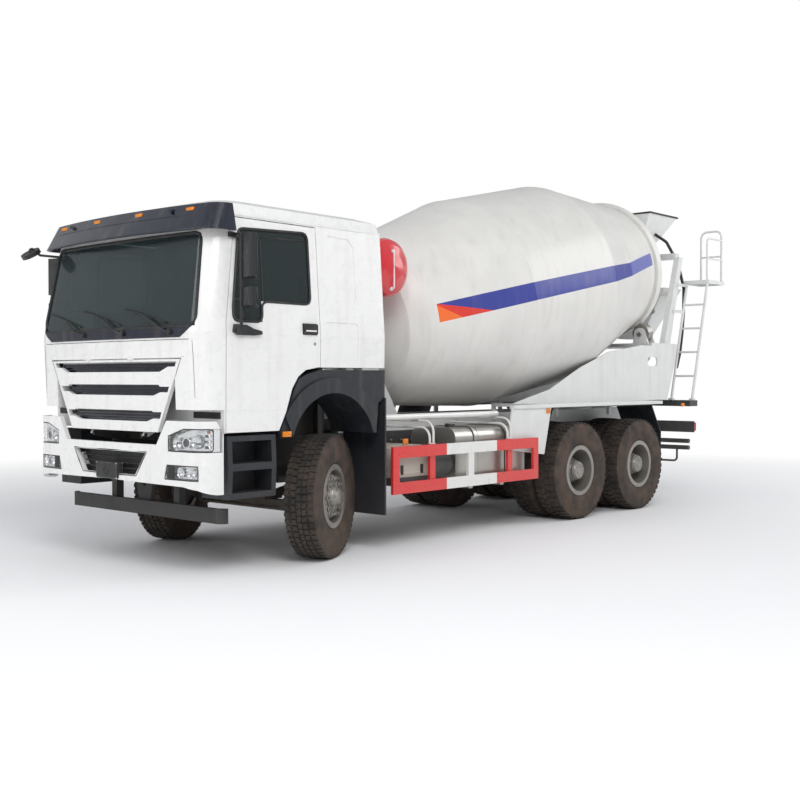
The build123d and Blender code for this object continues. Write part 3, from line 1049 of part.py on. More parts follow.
# station along the axis, outer radius
DRUM_PROFILE = [(-420.0, 480.0), (-260.0, 750.0), (-80.0, 880.0), (0.0, 913.0), (1374.0, 1207.0),
                (3000.0, 1258.0), (4540.0, 905.0), (4780.0, 890.0), (5250.0, 600.0)]
FLANGE_RADIUS = 190.0
with BuildPart() as drum:
    shell = [(station, radius - DRUM_WALL) for station, radius in reversed(DRUM_PROFILE[1:])]
    drum_ring([(DRUM_PROFILE[0][0], 0), *DRUM_PROFILE, *shell, (DRUM_PROFILE[0][0] + 16, 472),
               (DRUM_PROFILE[0][0] + 16, 0)])
    drum_ring([(RING_STATION - RING_WIDTH / 2, 885), (RING_STATION - RING_WIDTH / 2, RING_RADIUS),
               (RING_STATION + RING_WIDTH / 2, RING_RADIUS), (RING_STATION + RING_WIDTH / 2, 885)])
    bore = DRIVE_SHAFT_RADIUS + RUNNING_GAP
    head = DRUM_PROFILE[0][0]
    drum_ring([(DRIVE_BACK + SEAT_GAP, bore), (DRIVE_BACK + SEAT_GAP, FLANGE_RADIUS), (head + 8, FLANGE_RADIUS),
               (head + 8, bore)])
    drum_ring([(head - 10, 0), (head - 10, bore), (head + 8, bore), (head + 8, 0)], Mode.SUBTRACT)
save(drum, "drum_shell")

# Rollers under the ring and their brackets, on the rear stand with its cheeks and columns

ROLLER_PIN_RADIUS = 30.0
SHELF_TOP_Z = 2100.0
ROLLER_REACH = RING_RADIUS + ROLLER_RADIUS + SEAT_GAP
roller_up = -ROLLER_REACH * cos(radians(ROLLER_ANGLE))
roller_across = ROLLER_REACH * sin(radians(ROLLER_ANGLE))
for name, side in SIDES.items():
    with BuildPart() as roller:
        rod(tuple(on_drum(RING_STATION - ROLLER_WIDTH / 2, roller_up, side * roller_across)),
            tuple(on_drum(RING_STATION + ROLLER_WIDTH / 2, roller_up, side * roller_across)), ROLLER_RADIUS)
        rod(tuple(on_drum(RING_STATION - ROLLER_WIDTH, roller_up, side * roller_across)),
            tuple(on_drum(RING_STATION + ROLLER_WIDTH, roller_up, side * roller_across)), ROLLER_PIN_RADIUS)
    save(roller, f"drum_roller_{name}")

CHEEK_Y = 885.0
CHEEK_THICKNESS = 16.0
CHEEK = [(-3150, 1341), (-3900, 1500), (-4550, 1760), (-5200, 1960), (-6000, 2060), (-6980, 2060), (-6900, 1800),
         (-6700, 1341)]
CHEEK_HOLE_X = FRONT_AXLE_X - 6300.0
CHEEK_HOLE_Z = 1850.0
COLUMN_Y = 700.0
with BuildPart() as stand:
    block(FRONT_AXLE_X - 6980, FRONT_AXLE_X - 6290, -CHEEK_Y, CHEEK_Y, SHELF_TOP_Z - 50, SHELF_TOP_Z)
    for side in SIDES.values():
        side_slab([(FRONT_AXLE_X + x, z) for x, z in CHEEK], side * (CHEEK_Y - CHEEK_THICKNESS), side * CHEEK_Y)
        side_slab([(CHEEK_HOLE_X - 130, CHEEK_HOLE_Z - 60), (CHEEK_HOLE_X + 130, CHEEK_HOLE_Z - 60),
                   (CHEEK_HOLE_X + 130, CHEEK_HOLE_Z + 60), (CHEEK_HOLE_X - 130, CHEEK_HOLE_Z + 60)],
                  side * (CHEEK_Y - CHEEK_THICKNESS - 5), side * (CHEEK_Y + 5), radius=59, mode=Mode.SUBTRACT)
        side_slab([(FRONT_AXLE_X - 6420, SUBFRAME_TOP_Z), (FRONT_AXLE_X - 6620, SUBFRAME_TOP_Z),
                   (FRONT_AXLE_X - 6960, SHELF_TOP_Z - 45), (FRONT_AXLE_X - 6760, SHELF_TOP_Z - 45)],
                  side * 345, side * 425)
        side_slab([(FRONT_AXLE_X - 6800, SHELF_TOP_Z - 45), (FRONT_AXLE_X - 6960, SHELF_TOP_Z - 45),
                   (FRONT_AXLE_X - 7330, 3320), (FRONT_AXLE_X - 7230, 3320)], side * COLUMN_Y,
                  side * (COLUMN_Y + 80))
        for station in (RING_STATION - ROLLER_WIDTH / 2 - 30, RING_STATION + ROLLER_WIDTH / 2 + 8):
            base = Plane(origin=on_drum(station), x_dir=(0, -1, 0), z_dir=drum_along)
            foot = -roller_up + 172
            with BuildSketch(base) as ear:
                middle = -side * roller_across
                with Locations((middle, roller_up)):
                    Circle(85)
                with BuildLine():
                    Polyline((middle - 85, roller_up), (middle + 85, roller_up), (middle + 130, -foot),
                             (middle - 130, -foot), close=True)
                make_face()
            extrude(ear.sketch, amount=22)
        rod(tuple(on_drum(RING_STATION - ROLLER_WIDTH * 1.2, roller_up, side * roller_across)),
            tuple(on_drum(RING_STATION + ROLLER_WIDTH * 1.2, roller_up, side * roller_across)),
            ROLLER_PIN_RADIUS + RUNNING_GAP, Mode.SUBTRACT)
    block(FRONT_AXLE_X - 7345, FRONT_AXLE_X - 7235, -COLUMN_Y - 10, COLUMN_Y + 10, 3300, 3380)
save(stand, "rear_stand")


# Charge hopper above the drum's mouth: height, front and rear stations, half width

HOPPER = [(3950.0, -6910.0, -7700.0, 500.0), (3620.0, -6960.0, -7450.0, 350.0), (3300.0, -6850.0, -7110.0, 210.0)]
HOPPER_WALL = 10.0


def funnel_body(rows, inset, lift):
    """Lofts a funnel through rectangles pulled in by an inset, its ends moved out by a lift."""
    last = len(rows) - 1
    for index, (z, front, rear, half) in enumerate(rows):
        height = z + lift if index == 0 else z - lift if index == last else z
        x0 = FRONT_AXLE_X + rear + inset
        x1 = FRONT_AXLE_X + front - inset
        wide = half - inset
        with BuildSketch(Plane.XY.offset(height)) as section:
            with BuildLine():
                Polyline((x0, -wide), (x1, -wide), (x1, wide), (x0, wide), close=True)
            make_face()
        yield section.sketch


with BuildPart() as hopper:
    loft(list(funnel_body(HOPPER, 0.0, 0.0)), ruled=True)
    loft(list(funnel_body(HOPPER, HOPPER_WALL, 1.0)), ruled=True, mode=Mode.SUBTRACT)
    for side in SIDES.values():
        side_slab([(FRONT_AXLE_X - 7345, 3380 + SEAT_GAP), (FRONT_AXLE_X - 7235, 3380 + SEAT_GAP),
                   (FRONT_AXLE_X - 7235, 3425), (FRONT_AXLE_X - 7410, 3590)], side * 180, side * 200)
save(hopper, "charge_hopper")

# Discharge funnel behind the mouth, held between the columns

FUNNEL = [(2900.0, -7130.0, -7640.0, 600.0), (2200.0, -7240.0, -7500.0, 190.0)]
with BuildPart() as funnel:
    loft(list(funnel_body(FUNNEL, 0.0, 0.0)), ruled=True)
    loft(list(funnel_body(FUNNEL, HOPPER_WALL, 1.0)), ruled=True, mode=Mode.SUBTRACT)
    block(FRONT_AXLE_X - 7220, FRONT_AXLE_X - 7000, -420, 420, 2540, 2920, Mode.SUBTRACT)
    for side in SIDES.values():
        side_slab([(FRONT_AXLE_X - 7150, 2780), (FRONT_AXLE_X - 7190, 2780), (FRONT_AXLE_X - 7190, 2840),
                   (FRONT_AXLE_X - 7150, 2840)], side * 540, side * (COLUMN_Y - SEAT_GAP))
save(funnel, "discharge_funnel")

# Plank across the rear, the swivel post on it and the discharge chute, stowed to the right

PLANK_TOP_Z = 1330.0
PIVOT_X = FRONT_AXLE_X - 7330.0
PIVOT_PIN_RADIUS = 40.0
with BuildPart() as plank:
    block(FRONT_AXLE_X - 7080, FRONT_AXLE_X - 6860, -1140, 1140, PLANK_TOP_Z - 80, PLANK_TOP_Z)
    for side in SIDES.values():
        block(FRONT_AXLE_X - 6895, FRONT_AXLE_X - 6860, side * 350, side * 420, SUBFRAME_TOP_Z + SEAT_GAP,
              PLANK_TOP_Z - 70)
    block(PIVOT_X - 60, FRONT_AXLE_X - 7000, -60, 60, PLANK_TOP_Z - 80, PLANK_TOP_Z - 10)
    rod((PIVOT_X, 0, PLANK_TOP_Z - 80), (PIVOT_X, 0, 1560), PIVOT_PIN_RADIUS)
save(plank, "rear_plank")

CHUTE_STOW = 80.0
CHUTE_SLOPE = 12.0
CHUTE_RADIUS = 200.0
CHUTE_WALL = 8.0
CHUTE_LENGTH = 1300.0
CHUTE_HEAD_Z = 2010.0
CHUTE_HINGE_DROP = 255.0
stow = radians(CHUTE_STOW)
slope = radians(CHUTE_SLOPE)
chute_level = Vector(-cos(stow), -sin(stow), 0)
chute_along = chute_level * cos(slope) - Vector(0, 0, sin(slope))
chute_across = Vector(0, 0, 1).cross(chute_level)
hinge_point = Vector(PIVOT_X, 0, CHUTE_HEAD_Z - CHUTE_HINGE_DROP)
with BuildPart() as swivel:
    rod((PIVOT_X, 0, PLANK_TOP_Z - 10 + SEAT_GAP), (PIVOT_X, 0, 1560), 68)
    rod((PIVOT_X, 0, 1560 + SEAT_GAP), (PIVOT_X, 0, hinge_point.Z - 60), 60)
    rod((PIVOT_X, 0, 1550), (PIVOT_X, 0, 1575), 68)
    rod((PIVOT_X, 0, PLANK_TOP_Z - 20), (PIVOT_X, 0, 1560 + SEAT_GAP), PIVOT_PIN_RADIUS + RUNNING_GAP,
        Mode.SUBTRACT)
    for sign in (-1.0, 1.0):
        ear_plane = Plane(origin=hinge_point + chute_across * (sign * 62), x_dir=chute_level * -sign,
                          z_dir=chute_across * sign)
        with BuildSketch(ear_plane) as ear:
            Circle(38)
            with BuildLine():
                Polyline((-38, 0), (38, 0), (45, -110), (-45, -110), close=True)
            make_face()
        extrude(ear.sketch, amount=16)
    with BuildSketch(Plane(origin=hinge_point - Vector(0, 0, 110), x_dir=chute_level, z_dir=(0, 0, 1))) as seat:
        Rectangle(90, 156)
    extrude(seat.sketch, amount=40)
    rod(tuple(hinge_point - chute_across * 78), tuple(hinge_point + chute_across * 78), 16)
save(swivel, "chute_swivel")

with BuildPart() as chute:
    head = Vector(PIVOT_X, 0, CHUTE_HEAD_Z) - chute_along * 170
    with BuildSketch(Plane(origin=head, x_dir=chute_across, z_dir=chute_along)) as trough:
        Circle(CHUTE_RADIUS)
        Circle(CHUTE_RADIUS - CHUTE_WALL, mode=Mode.SUBTRACT)
        with Locations((0, CHUTE_RADIUS)):
            Rectangle(CHUTE_RADIUS * 3, CHUTE_RADIUS * 2, mode=Mode.SUBTRACT)
    extrude(trough.sketch, amount=CHUTE_LENGTH)
    with BuildSketch(Plane(origin=hinge_point - chute_across * 60, x_dir=chute_level * -1,
                           z_dir=chute_across)) as lug:
        Circle(34)
        with BuildLine():
            Polyline((-34, 0), (34, 0), (60, CHUTE_HINGE_DROP - CHUTE_RADIUS + 16),
                     (-60, CHUTE_HINGE_DROP - CHUTE_RADIUS - 12), close=True)
        make_face()
        Circle(16 + RUNNING_GAP, mode=Mode.SUBTRACT)
    extrude(lug.sketch, amount=120)
save(chute, "discharge_chute")

# Covers over the drive wheels, the white top plates and the flaps behind

COVER_OUTER = 1200.0
COVER_INNER = CHEEK_Y - CHEEK_THICKNESS
COVER_BACK = 640.0
PLATE_TOP_Z = 1340.0
PLATE_THICKNESS = 40.0
COVER_Y = COVER_OUTER - 40
APRON_Y = COVER_Y + 3
APRON_THICKNESS = 18.0
FIRST_X = REAR_AXLES["1"]
SECOND_X = REAR_AXLES["2"]
# Apron ahead of the drive wheels as (ahead of the first drive axle, z)
APRON = [(1272, PLATE_TOP_Z - 5), (1371, 862), (677, 780), (530, PLATE_TOP_Z - 1)]
with BuildPart() as top_plates:
    for side in SIDES.values():
        block(SECOND_X - 625, FIRST_X + 825, side * COVER_INNER, side * COVER_OUTER, PLATE_TOP_Z - PLATE_THICKNESS,
              PLATE_TOP_Z)
        block(FIRST_X + 800, FIRST_X + 1272, side * (COVER_OUTER - 60), side * COVER_OUTER,
              PLATE_TOP_Z - PLATE_THICKNESS, PLATE_TOP_Z - 5)
        side_slab([(FIRST_X + x, z) for x, z in APRON], side * APRON_Y, side * (APRON_Y + APRON_THICKNESS),
                  radius=20)
        for x in (FIRST_X + 625, (FIRST_X + SECOND_X) / 2, SECOND_X - 575):
            block(x - 30, x + 30, side * (FRAME_HALF + SEAT_GAP), side * (FRAME_HALF + 25), SUBFRAME_TOP_Z - 80,
                  PLATE_TOP_Z)
            block(x - 30, x + 30, side * (FRAME_HALF + 20), side * (COVER_INNER + 20),
                  PLATE_TOP_Z - PLATE_THICKNESS, PLATE_TOP_Z - 1)
save(top_plates, "rear_mudguard_tops")

with BuildPart() as covers:
    for side in SIDES.values():
        side_slab([(FIRST_X + 625, 980), (FIRST_X + 635, 980), (FIRST_X + 475, 1295), (SECOND_X - 415, 1295),
                   (SECOND_X - 655, 940), (SECOND_X - 645, 935), (SECOND_X - 409, 1285), (FIRST_X + 468, 1285)],
                  side * COVER_BACK, side * COVER_Y)
        block(SECOND_X - 660, SECOND_X - 650, side * COVER_BACK, side * COVER_Y, 400, 945)
        for x in (FIRST_X + 325, SECOND_X - 325):
            block(x - 20, x + 20, side * 900, side * 960, 1294, PLATE_TOP_Z - PLATE_THICKNESS - SEAT_GAP)
save(covers, "rear_wheel_covers")

# Under-run tubes at the rear with hangers, a cross plate and a step loop

UNDER_RUN_Z = 730.0
TAIL_X = FRAME_REAR_X - 20.3
with BuildPart() as under_run:
    for z in (UNDER_RUN_Z - 45, UNDER_RUN_Z + 45):
        rod((TAIL_X - 90, -1080, z), (TAIL_X - 90, 1080, z), 30)
    for side in SIDES.values():
        block(TAIL_X - 70, TAIL_X - 55, side * (FRAME_HALF - 60), side * (FRAME_HALF - 20), UNDER_RUN_Z - 85, 1040)
        block(TAIL_X - 70, TAIL_X + 1, side * (FRAME_HALF - 60), side * (FRAME_HALF - 20), 940, 1040)
        block(TAIL_X - 3, TAIL_X + 20, side * (FRAME_HALF - 60), side * (FRAME_HALF - 10), 900, 1050)
    block(TAIL_X - 12, TAIL_X, -1200, 1200, 900, 1050)
    bent_tube([(TAIL_X - 90, 640, UNDER_RUN_Z - 45), (TAIL_X - 90, 640, 500), (TAIL_X - 90, 900, 500),
               (TAIL_X - 90, 900, UNDER_RUN_Z - 45)], 14, 50)
save(under_run, "rear_under_run")

with BuildPart() as rear_lamps:
    for side in SIDES.values():
        block(TAIL_X - 75, TAIL_X - 12 - SEAT_GAP, side * 880, side * 1190, 920, 1030)
save(rear_lamps, "rear_lamps")

# Ladder, platform with its rails

LADDER_FOOT = (FRONT_AXLE_X - 7010.0, PLANK_TOP_Z + SEAT_GAP)
LADDER_HEAD = (FRONT_AXLE_X - 7455.0, 2985.0)
LADDER_Y = (785.0, 1095.0)
PLATFORM_TOP_Z = 3000.0
PLATFORM_FRONT_X = FRONT_AXLE_X - 7430.0
PLATFORM_REAR_X = FRONT_AXLE_X - REAR_REACH + 10
RAIL_RADIUS = 15.0


def ladder_point(share, across):
    """Returns a point of the ladder: share of the way up and place across."""
    x = LADDER_FOOT[0] + share * (LADDER_HEAD[0] - LADDER_FOOT[0])
    z = LADDER_FOOT[1] + share * (LADDER_HEAD[1] - LADDER_FOOT[1])
    return (x, across, z)


with BuildPart() as ladder:
    for across in LADDER_Y:
        rod(ladder_point(0.012, across), ladder_point(1.0, across), 18)
        block(LADDER_FOOT[0] - 35, LADDER_FOOT[0] + 35, across - 30, across + 30, LADDER_FOOT[1],
              LADDER_FOOT[1] + 25)
    for share in (0.2, 0.4, 0.6, 0.8):
        rod(ladder_point(share, LADDER_Y[0]), ladder_point(share, LADDER_Y[1]), 14)
    block(PLATFORM_REAR_X, PLATFORM_FRONT_X, 740, 1120, PLATFORM_TOP_Z - 50, PLATFORM_TOP_Z)
    block(PLATFORM_REAR_X + 20, PLATFORM_FRONT_X - 20, 760, 1100, PLATFORM_TOP_Z - 51, PLATFORM_TOP_Z - 12,
          Mode.SUBTRACT)
    for index in range(11):
        x = PLATFORM_REAR_X + 50 + 38 * index
        block(x, x + 10, 755, 1105, PLATFORM_TOP_Z - 40, PLATFORM_TOP_Z - 4)
    block(PLATFORM_REAR_X + 15, PLATFORM_FRONT_X - 15, 920, 940, PLATFORM_TOP_Z - 40, PLATFORM_TOP_Z - 8)
    rear_x = PLATFORM_REAR_X + 25
    bent_tube([(rear_x, 775, PLATFORM_TOP_Z - 20), (rear_x, 775, 3720), (rear_x, 1085, 3720),
               (rear_x, 1085, PLATFORM_TOP_Z - 20)], RAIL_RADIUS, 90)
    rod((rear_x, 775, 3360), (rear_x, 1085, 3360), 12)
    front_x = PLATFORM_FRONT_X - 25
    bent_tube([(front_x, 1085, PLATFORM_TOP_Z - 20), (front_x, 1085, 3580), (rear_x, 1085, 3580)],
              RAIL_RADIUS - 2, 70)
    rod((front_x, 1085, 3300), (rear_x, 1085, 3300), 11)
    for height, reach in ((2540.0, -7035.0), (2910.0, -7145.0)):
        share = (height + 20 - LADDER_FOOT[1]) / (LADDER_HEAD[1] - LADDER_FOOT[1])
        block(ladder_point(share, 0)[0] - 10, FRONT_AXLE_X + reach, COLUMN_Y + 80 + SEAT_GAP, COLUMN_Y + 96,
              height, height + 40)
save(ladder, "ladder_platform")

# Water tank behind the cab, across the frame

TANK_RADIUS = 285.0
TANK_HALF = 1050.0
with BuildPart() as water_tank:
    with BuildSketch(Plane(origin=(TANK_X, 0, TANK_Z), x_dir=(1, 0, 0), z_dir=(0, 0, 1))) as half:
        with BuildLine():
            Polyline((0, -TANK_HALF), (0, TANK_HALF), (120, TANK_HALF - 12), (215, TANK_HALF - 45),
                     (265, TANK_HALF - 80), (TANK_RADIUS, TANK_HALF - 125), (TANK_RADIUS, 125 - TANK_HALF),
                     (265, 80 - TANK_HALF), (215, 45 - TANK_HALF), (120, 12 - TANK_HALF), close=True)
        make_face()
    revolve(half.sketch, axis=Axis((TANK_X, 0, TANK_Z), (0, 1, 0)))
    for y in (-600.0, 600.0):
        block(TANK_X - 150, TANK_X + 150, y - 40, y + 40, TANK_Z - 330, TANK_Z - 200)
    sight_x = TANK_X + TANK_RADIUS + 20
    rod((sight_x, 900, TANK_Z - 200), (sight_x, 900, TANK_Z + 200), 14)
    for z in (-180.0, 180.0):
        rod((TANK_X + 150, 900, TANK_Z + z), (sight_x, 900, TANK_Z + z), 10)
save(water_tank, "water_tank")
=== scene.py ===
"""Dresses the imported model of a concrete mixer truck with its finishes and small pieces, and lights it."""

import logging
import math
from dataclasses import dataclass
from enum import Enum
from typing import Callable, Iterable, Sequence

import bmesh
import bpy
from mathutils import Matrix, Vector


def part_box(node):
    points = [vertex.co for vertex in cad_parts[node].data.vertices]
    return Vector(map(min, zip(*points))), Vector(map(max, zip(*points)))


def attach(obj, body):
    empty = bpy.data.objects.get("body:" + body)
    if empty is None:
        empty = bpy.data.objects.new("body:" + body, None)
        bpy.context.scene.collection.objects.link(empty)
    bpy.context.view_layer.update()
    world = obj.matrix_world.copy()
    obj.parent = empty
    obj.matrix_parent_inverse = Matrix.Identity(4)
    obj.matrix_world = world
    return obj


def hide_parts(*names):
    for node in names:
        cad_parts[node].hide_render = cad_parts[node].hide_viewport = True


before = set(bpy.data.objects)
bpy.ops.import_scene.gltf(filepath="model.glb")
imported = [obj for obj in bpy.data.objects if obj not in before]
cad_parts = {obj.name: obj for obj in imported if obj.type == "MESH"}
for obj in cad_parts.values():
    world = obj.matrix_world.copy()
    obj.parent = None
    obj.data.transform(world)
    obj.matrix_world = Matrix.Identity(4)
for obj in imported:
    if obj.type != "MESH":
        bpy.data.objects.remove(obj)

LOG = logging.getLogger("mixer")
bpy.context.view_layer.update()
FRONT_AXLE = 3.190
SIDES = {"left": 1.0, "right": -1.0}
DRUM_START = (FRONT_AXLE - 1.816, 0.0, 2.226)
DRUM_TILT = math.radians(10.89)
AXLE_HEIGHT = 0.562
KINGPIN_Y, FRONT_WHEEL_Y, REAR_WHEELS_Y, TWIN_SHIFT = 0.840, 1.011, 0.915, 0.175
REAR_AXLES = {"1": 4.025, "2": 5.375}
STEERED = math.radians(25.0)
AHEAD, BESIDE = 2.0, 1.6
Colour = tuple[float, float, float]


# ---- Shader building ----


class Net:
    """A node tree with short calls to add nodes and join their sockets."""

    def __init__(self, tree: bpy.types.NodeTree) -> None:
        """Keeps the tree that the calls add to.

        Args:
            tree: the node tree.
        """
        self.tree = tree

    def put(self, target: bpy.types.NodeSocket, source: object) -> None:
        """Joins a socket to a source, or sets it to a value.

        Args:
            target: the input socket.
            source: an output socket, a number or a tuple.
        """
        if isinstance(source, bpy.types.NodeSocket):
            self.tree.links.new(source, target)
        elif isinstance(source, tuple) and target.type == "RGBA" and len(source) == 3:
            target.default_value = (*source, 1.0)
        else:
            target.default_value = source

    def node(self, kind: str, inputs: dict | None = None, **settings: object) -> bpy.types.Node:
        """Adds a node.

        Args:
            kind: the node's type name.
            inputs: values or sources by input name or number.
            settings: the node's own properties.

        Returns:
            The new node.
        """
        made = self.tree.nodes.new(kind)
        for name, value in settings.items():
            setattr(made, name, value)
        for name, value in (inputs or {}).items():
            self.put(made.inputs[name], value)
        return made

    def maths(self, operation: str, a: object, b: object = 0.0, clamp: bool = False) -> bpy.types.NodeSocket:
        """Adds a maths node.

        Args:
            operation: what it does.
            a: its first value.
            b: its second value.
            clamp: whether the result stays between 0 and 1.

        Returns:
            Its result.
        """
        return self.node("ShaderNodeMath", {0: a, 1: b}, operation=operation, use_clamp=clamp).outputs[0]

    def between(self, value: object, low: object, high: object) -> bpy.types.NodeSocket:
        """Tells whether a value lies between two others.

        Args:
            value: what is read.
            low: the lower limit.
            high: the upper limit.

        Returns:
            1 where it does, and 0 elsewhere.
        """
        return self.maths("MULTIPLY", self.maths("GREATER_THAN", value, low),
                          self.maths("LESS_THAN", value, high))

    def ramp(self, value: object, low: float, high: float, to_low: float = 0.0,
             to_high: float = 1.0) -> bpy.types.NodeSocket:
        """Stretches a value's range.

        Args:
            value: what is read.
            low: the value that gives to_low.
            high: the value that gives to_high.
            to_low: the lowest result.
            to_high: the highest result.

        Returns:
            The stretched value, held between its ends.
        """
        return self.node("ShaderNodeMapRange", {0: value, 1: low, 2: high, 3: to_low, 4: to_high}).outputs[0]

    def blend(self, share: object, a: object, b: object, mode: str = "MIX") -> bpy.types.NodeSocket:
        """Mixes two colours.

        Args:
            share: how much of the second shows.
            a: the first colour.
            b: the second colour.
            mode: how they mix.

        Returns:
            The mixed colour.
        """
        made = self.node("ShaderNodeMix", data_type="RGBA", blend_type=mode)
        for index, value in ((0, share), (6, a), (7, b)):
            self.put(made.inputs[index], value)
        return made.outputs[2]

    def place(self) -> bpy.types.NodeSocket:
        """The Object coordinates of the point that is shaded.

        Returns:
            Its coordinates.
        """
        return self.node("ShaderNodeTexCoord").outputs["Object"]

    def axes(self, vector: object | None = None) -> tuple[bpy.types.NodeSocket, ...]:
        """Splits a vector, or the place, into its three parts.

        Args:
            vector: what is split; the shaded point if none.

        Returns:
            The three parts.
        """
        return tuple(self.node("ShaderNodeSeparateXYZ", {0: vector or self.place()}).outputs)

    def noise(self, scale: object, detail: float = 3.0,
              stretch: tuple = (1.0, 1.0, 1.0)) -> bpy.types.NodeSocket:
        """Adds a noise pattern on Object coordinates.

        Args:
            scale: the pattern's scale.
            detail: its finer steps.
            stretch: the scale along each axis.

        Returns:
            The pattern's value.
        """
        placed = self.node("ShaderNodeMapping", {"Vector": self.place(), "Scale": stretch}).outputs[0]
        return self.node("ShaderNodeTexNoise", {"Vector": placed, "Scale": scale, "Detail": detail}).outputs[0]

    def effect(self, group: bpy.types.NodeTree, **inputs: object) -> dict[str, bpy.types.NodeSocket]:
        """Places a shared effect in this tree.

        Args:
            group: the effect's node group.
            inputs: its values, spaces in their names written as underscores.

        Returns:
            The effect's outputs by name.
        """
        made = self.node("ShaderNodeGroup", node_tree=group)
        for name, value in inputs.items():
            self.put(made.inputs[name.replace("_", " ")], value)
        return {out.name: out for out in made.outputs}


def shared_effect(name: str, inputs: dict[str, float], outputs: Sequence[str],
                  fill: Callable) -> bpy.types.NodeTree:
    """Makes a shader node group once.

    Args:
        name: the group's name.
        inputs: its inputs with their usual values.
        outputs: its outputs.
        fill: builds it from a Net and its input sockets, and returns its results in order.

    Returns:
        The group.
    """
    if name in bpy.data.node_groups:
        return bpy.data.node_groups[name]
    tree = bpy.data.node_groups.new(name, "ShaderNodeTree")
    for label, value in inputs.items():
        tree.interface.new_socket(label, in_out="INPUT", socket_type="NodeSocketFloat").default_value = value
    for label in outputs:
        tree.interface.new_socket(label, in_out="OUTPUT", socket_type="NodeSocketFloat")
    net = Net(tree)
    entry, leave = tree.nodes.new("NodeGroupInput"), tree.nodes.new("NodeGroupOutput")
    for index, result in enumerate(fill(net, {out.name: out for out in entry.outputs if out.name})):
        net.put(leave.inputs[index], result)
    return tree


def dust_effect() -> bpy.types.NodeTree:
    """Road dust that thins out upwards, in patches, and settles on what faces up.

    Returns:
        The node group.
    """

    def fill(net: Net, given: dict) -> list:
        """Builds the mask.

        Args:
            net: the material's nodes.
            given: the group's inputs.

        Returns:
            The group's results in order.
        """
        height = net.node("ShaderNodeMapRange", {0: net.axes()[2], 1: given["Top"],
                                                 2: given["Bottom"]}).outputs[0]
        patches = net.ramp(net.noise(2.6, 6.0), 0.34, 0.66, 0.35, 1.0)
        fine = net.ramp(net.noise(60.0, 4.0), 0.3, 0.75, 0.6, 1.0)
        up = net.ramp(net.axes(net.node("ShaderNodeNewGeometry").outputs["Normal"])[2], 0.5, 1.0, 0.0, 0.35)
        spread = net.maths("MULTIPLY", net.maths("MAXIMUM", height, up), net.maths("MULTIPLY", patches, fine))
        return [net.maths("MULTIPLY", spread, given["Amount"], clamp=True)]

    return shared_effect("road dust", {"Bottom": 0.2, "Top": 1.2, "Amount": 0.6}, ["Mask"], fill)


def grain_effect() -> bpy.types.NodeTree:
    """Fine grain for bump, and slow patches for colour and gloss.

    Returns:
        The node group.
    """

    def fill(net: Net, given: dict) -> list:
        """Builds the height and the patches.

        Args:
            net: the material's nodes.
            given: the group's inputs.

        Returns:
            The group's results in order.
        """
        fine = net.noise(given["Scale"], 2.0)
        slow = net.noise(net.maths("MULTIPLY", given["Scale"], 0.02), 5.0)
        return [fine, net.ramp(slow, 0.3, 0.7)]

    return shared_effect("grain", {"Scale": 300.0}, ["Height", "Patches"], fill)


def streak_effect() -> bpy.types.NodeTree:
    """Rain streaks that run down upright faces.

    Returns:
        The node group.
    """

    def fill(net: Net, given: dict) -> list:
        """Builds the mask.

        Args:
            net: the material's nodes.
            given: the group's inputs.

        Returns:
            The group's results in order.
        """
        lines = net.ramp(net.noise(9.0, 5.0, (1.0, 1.0, 0.07)), 0.52, 0.72)
        return [net.maths("MULTIPLY", lines, given["Amount"], clamp=True)]

    return shared_effect("rain streaks", {"Amount": 0.2}, ["Mask"], fill)


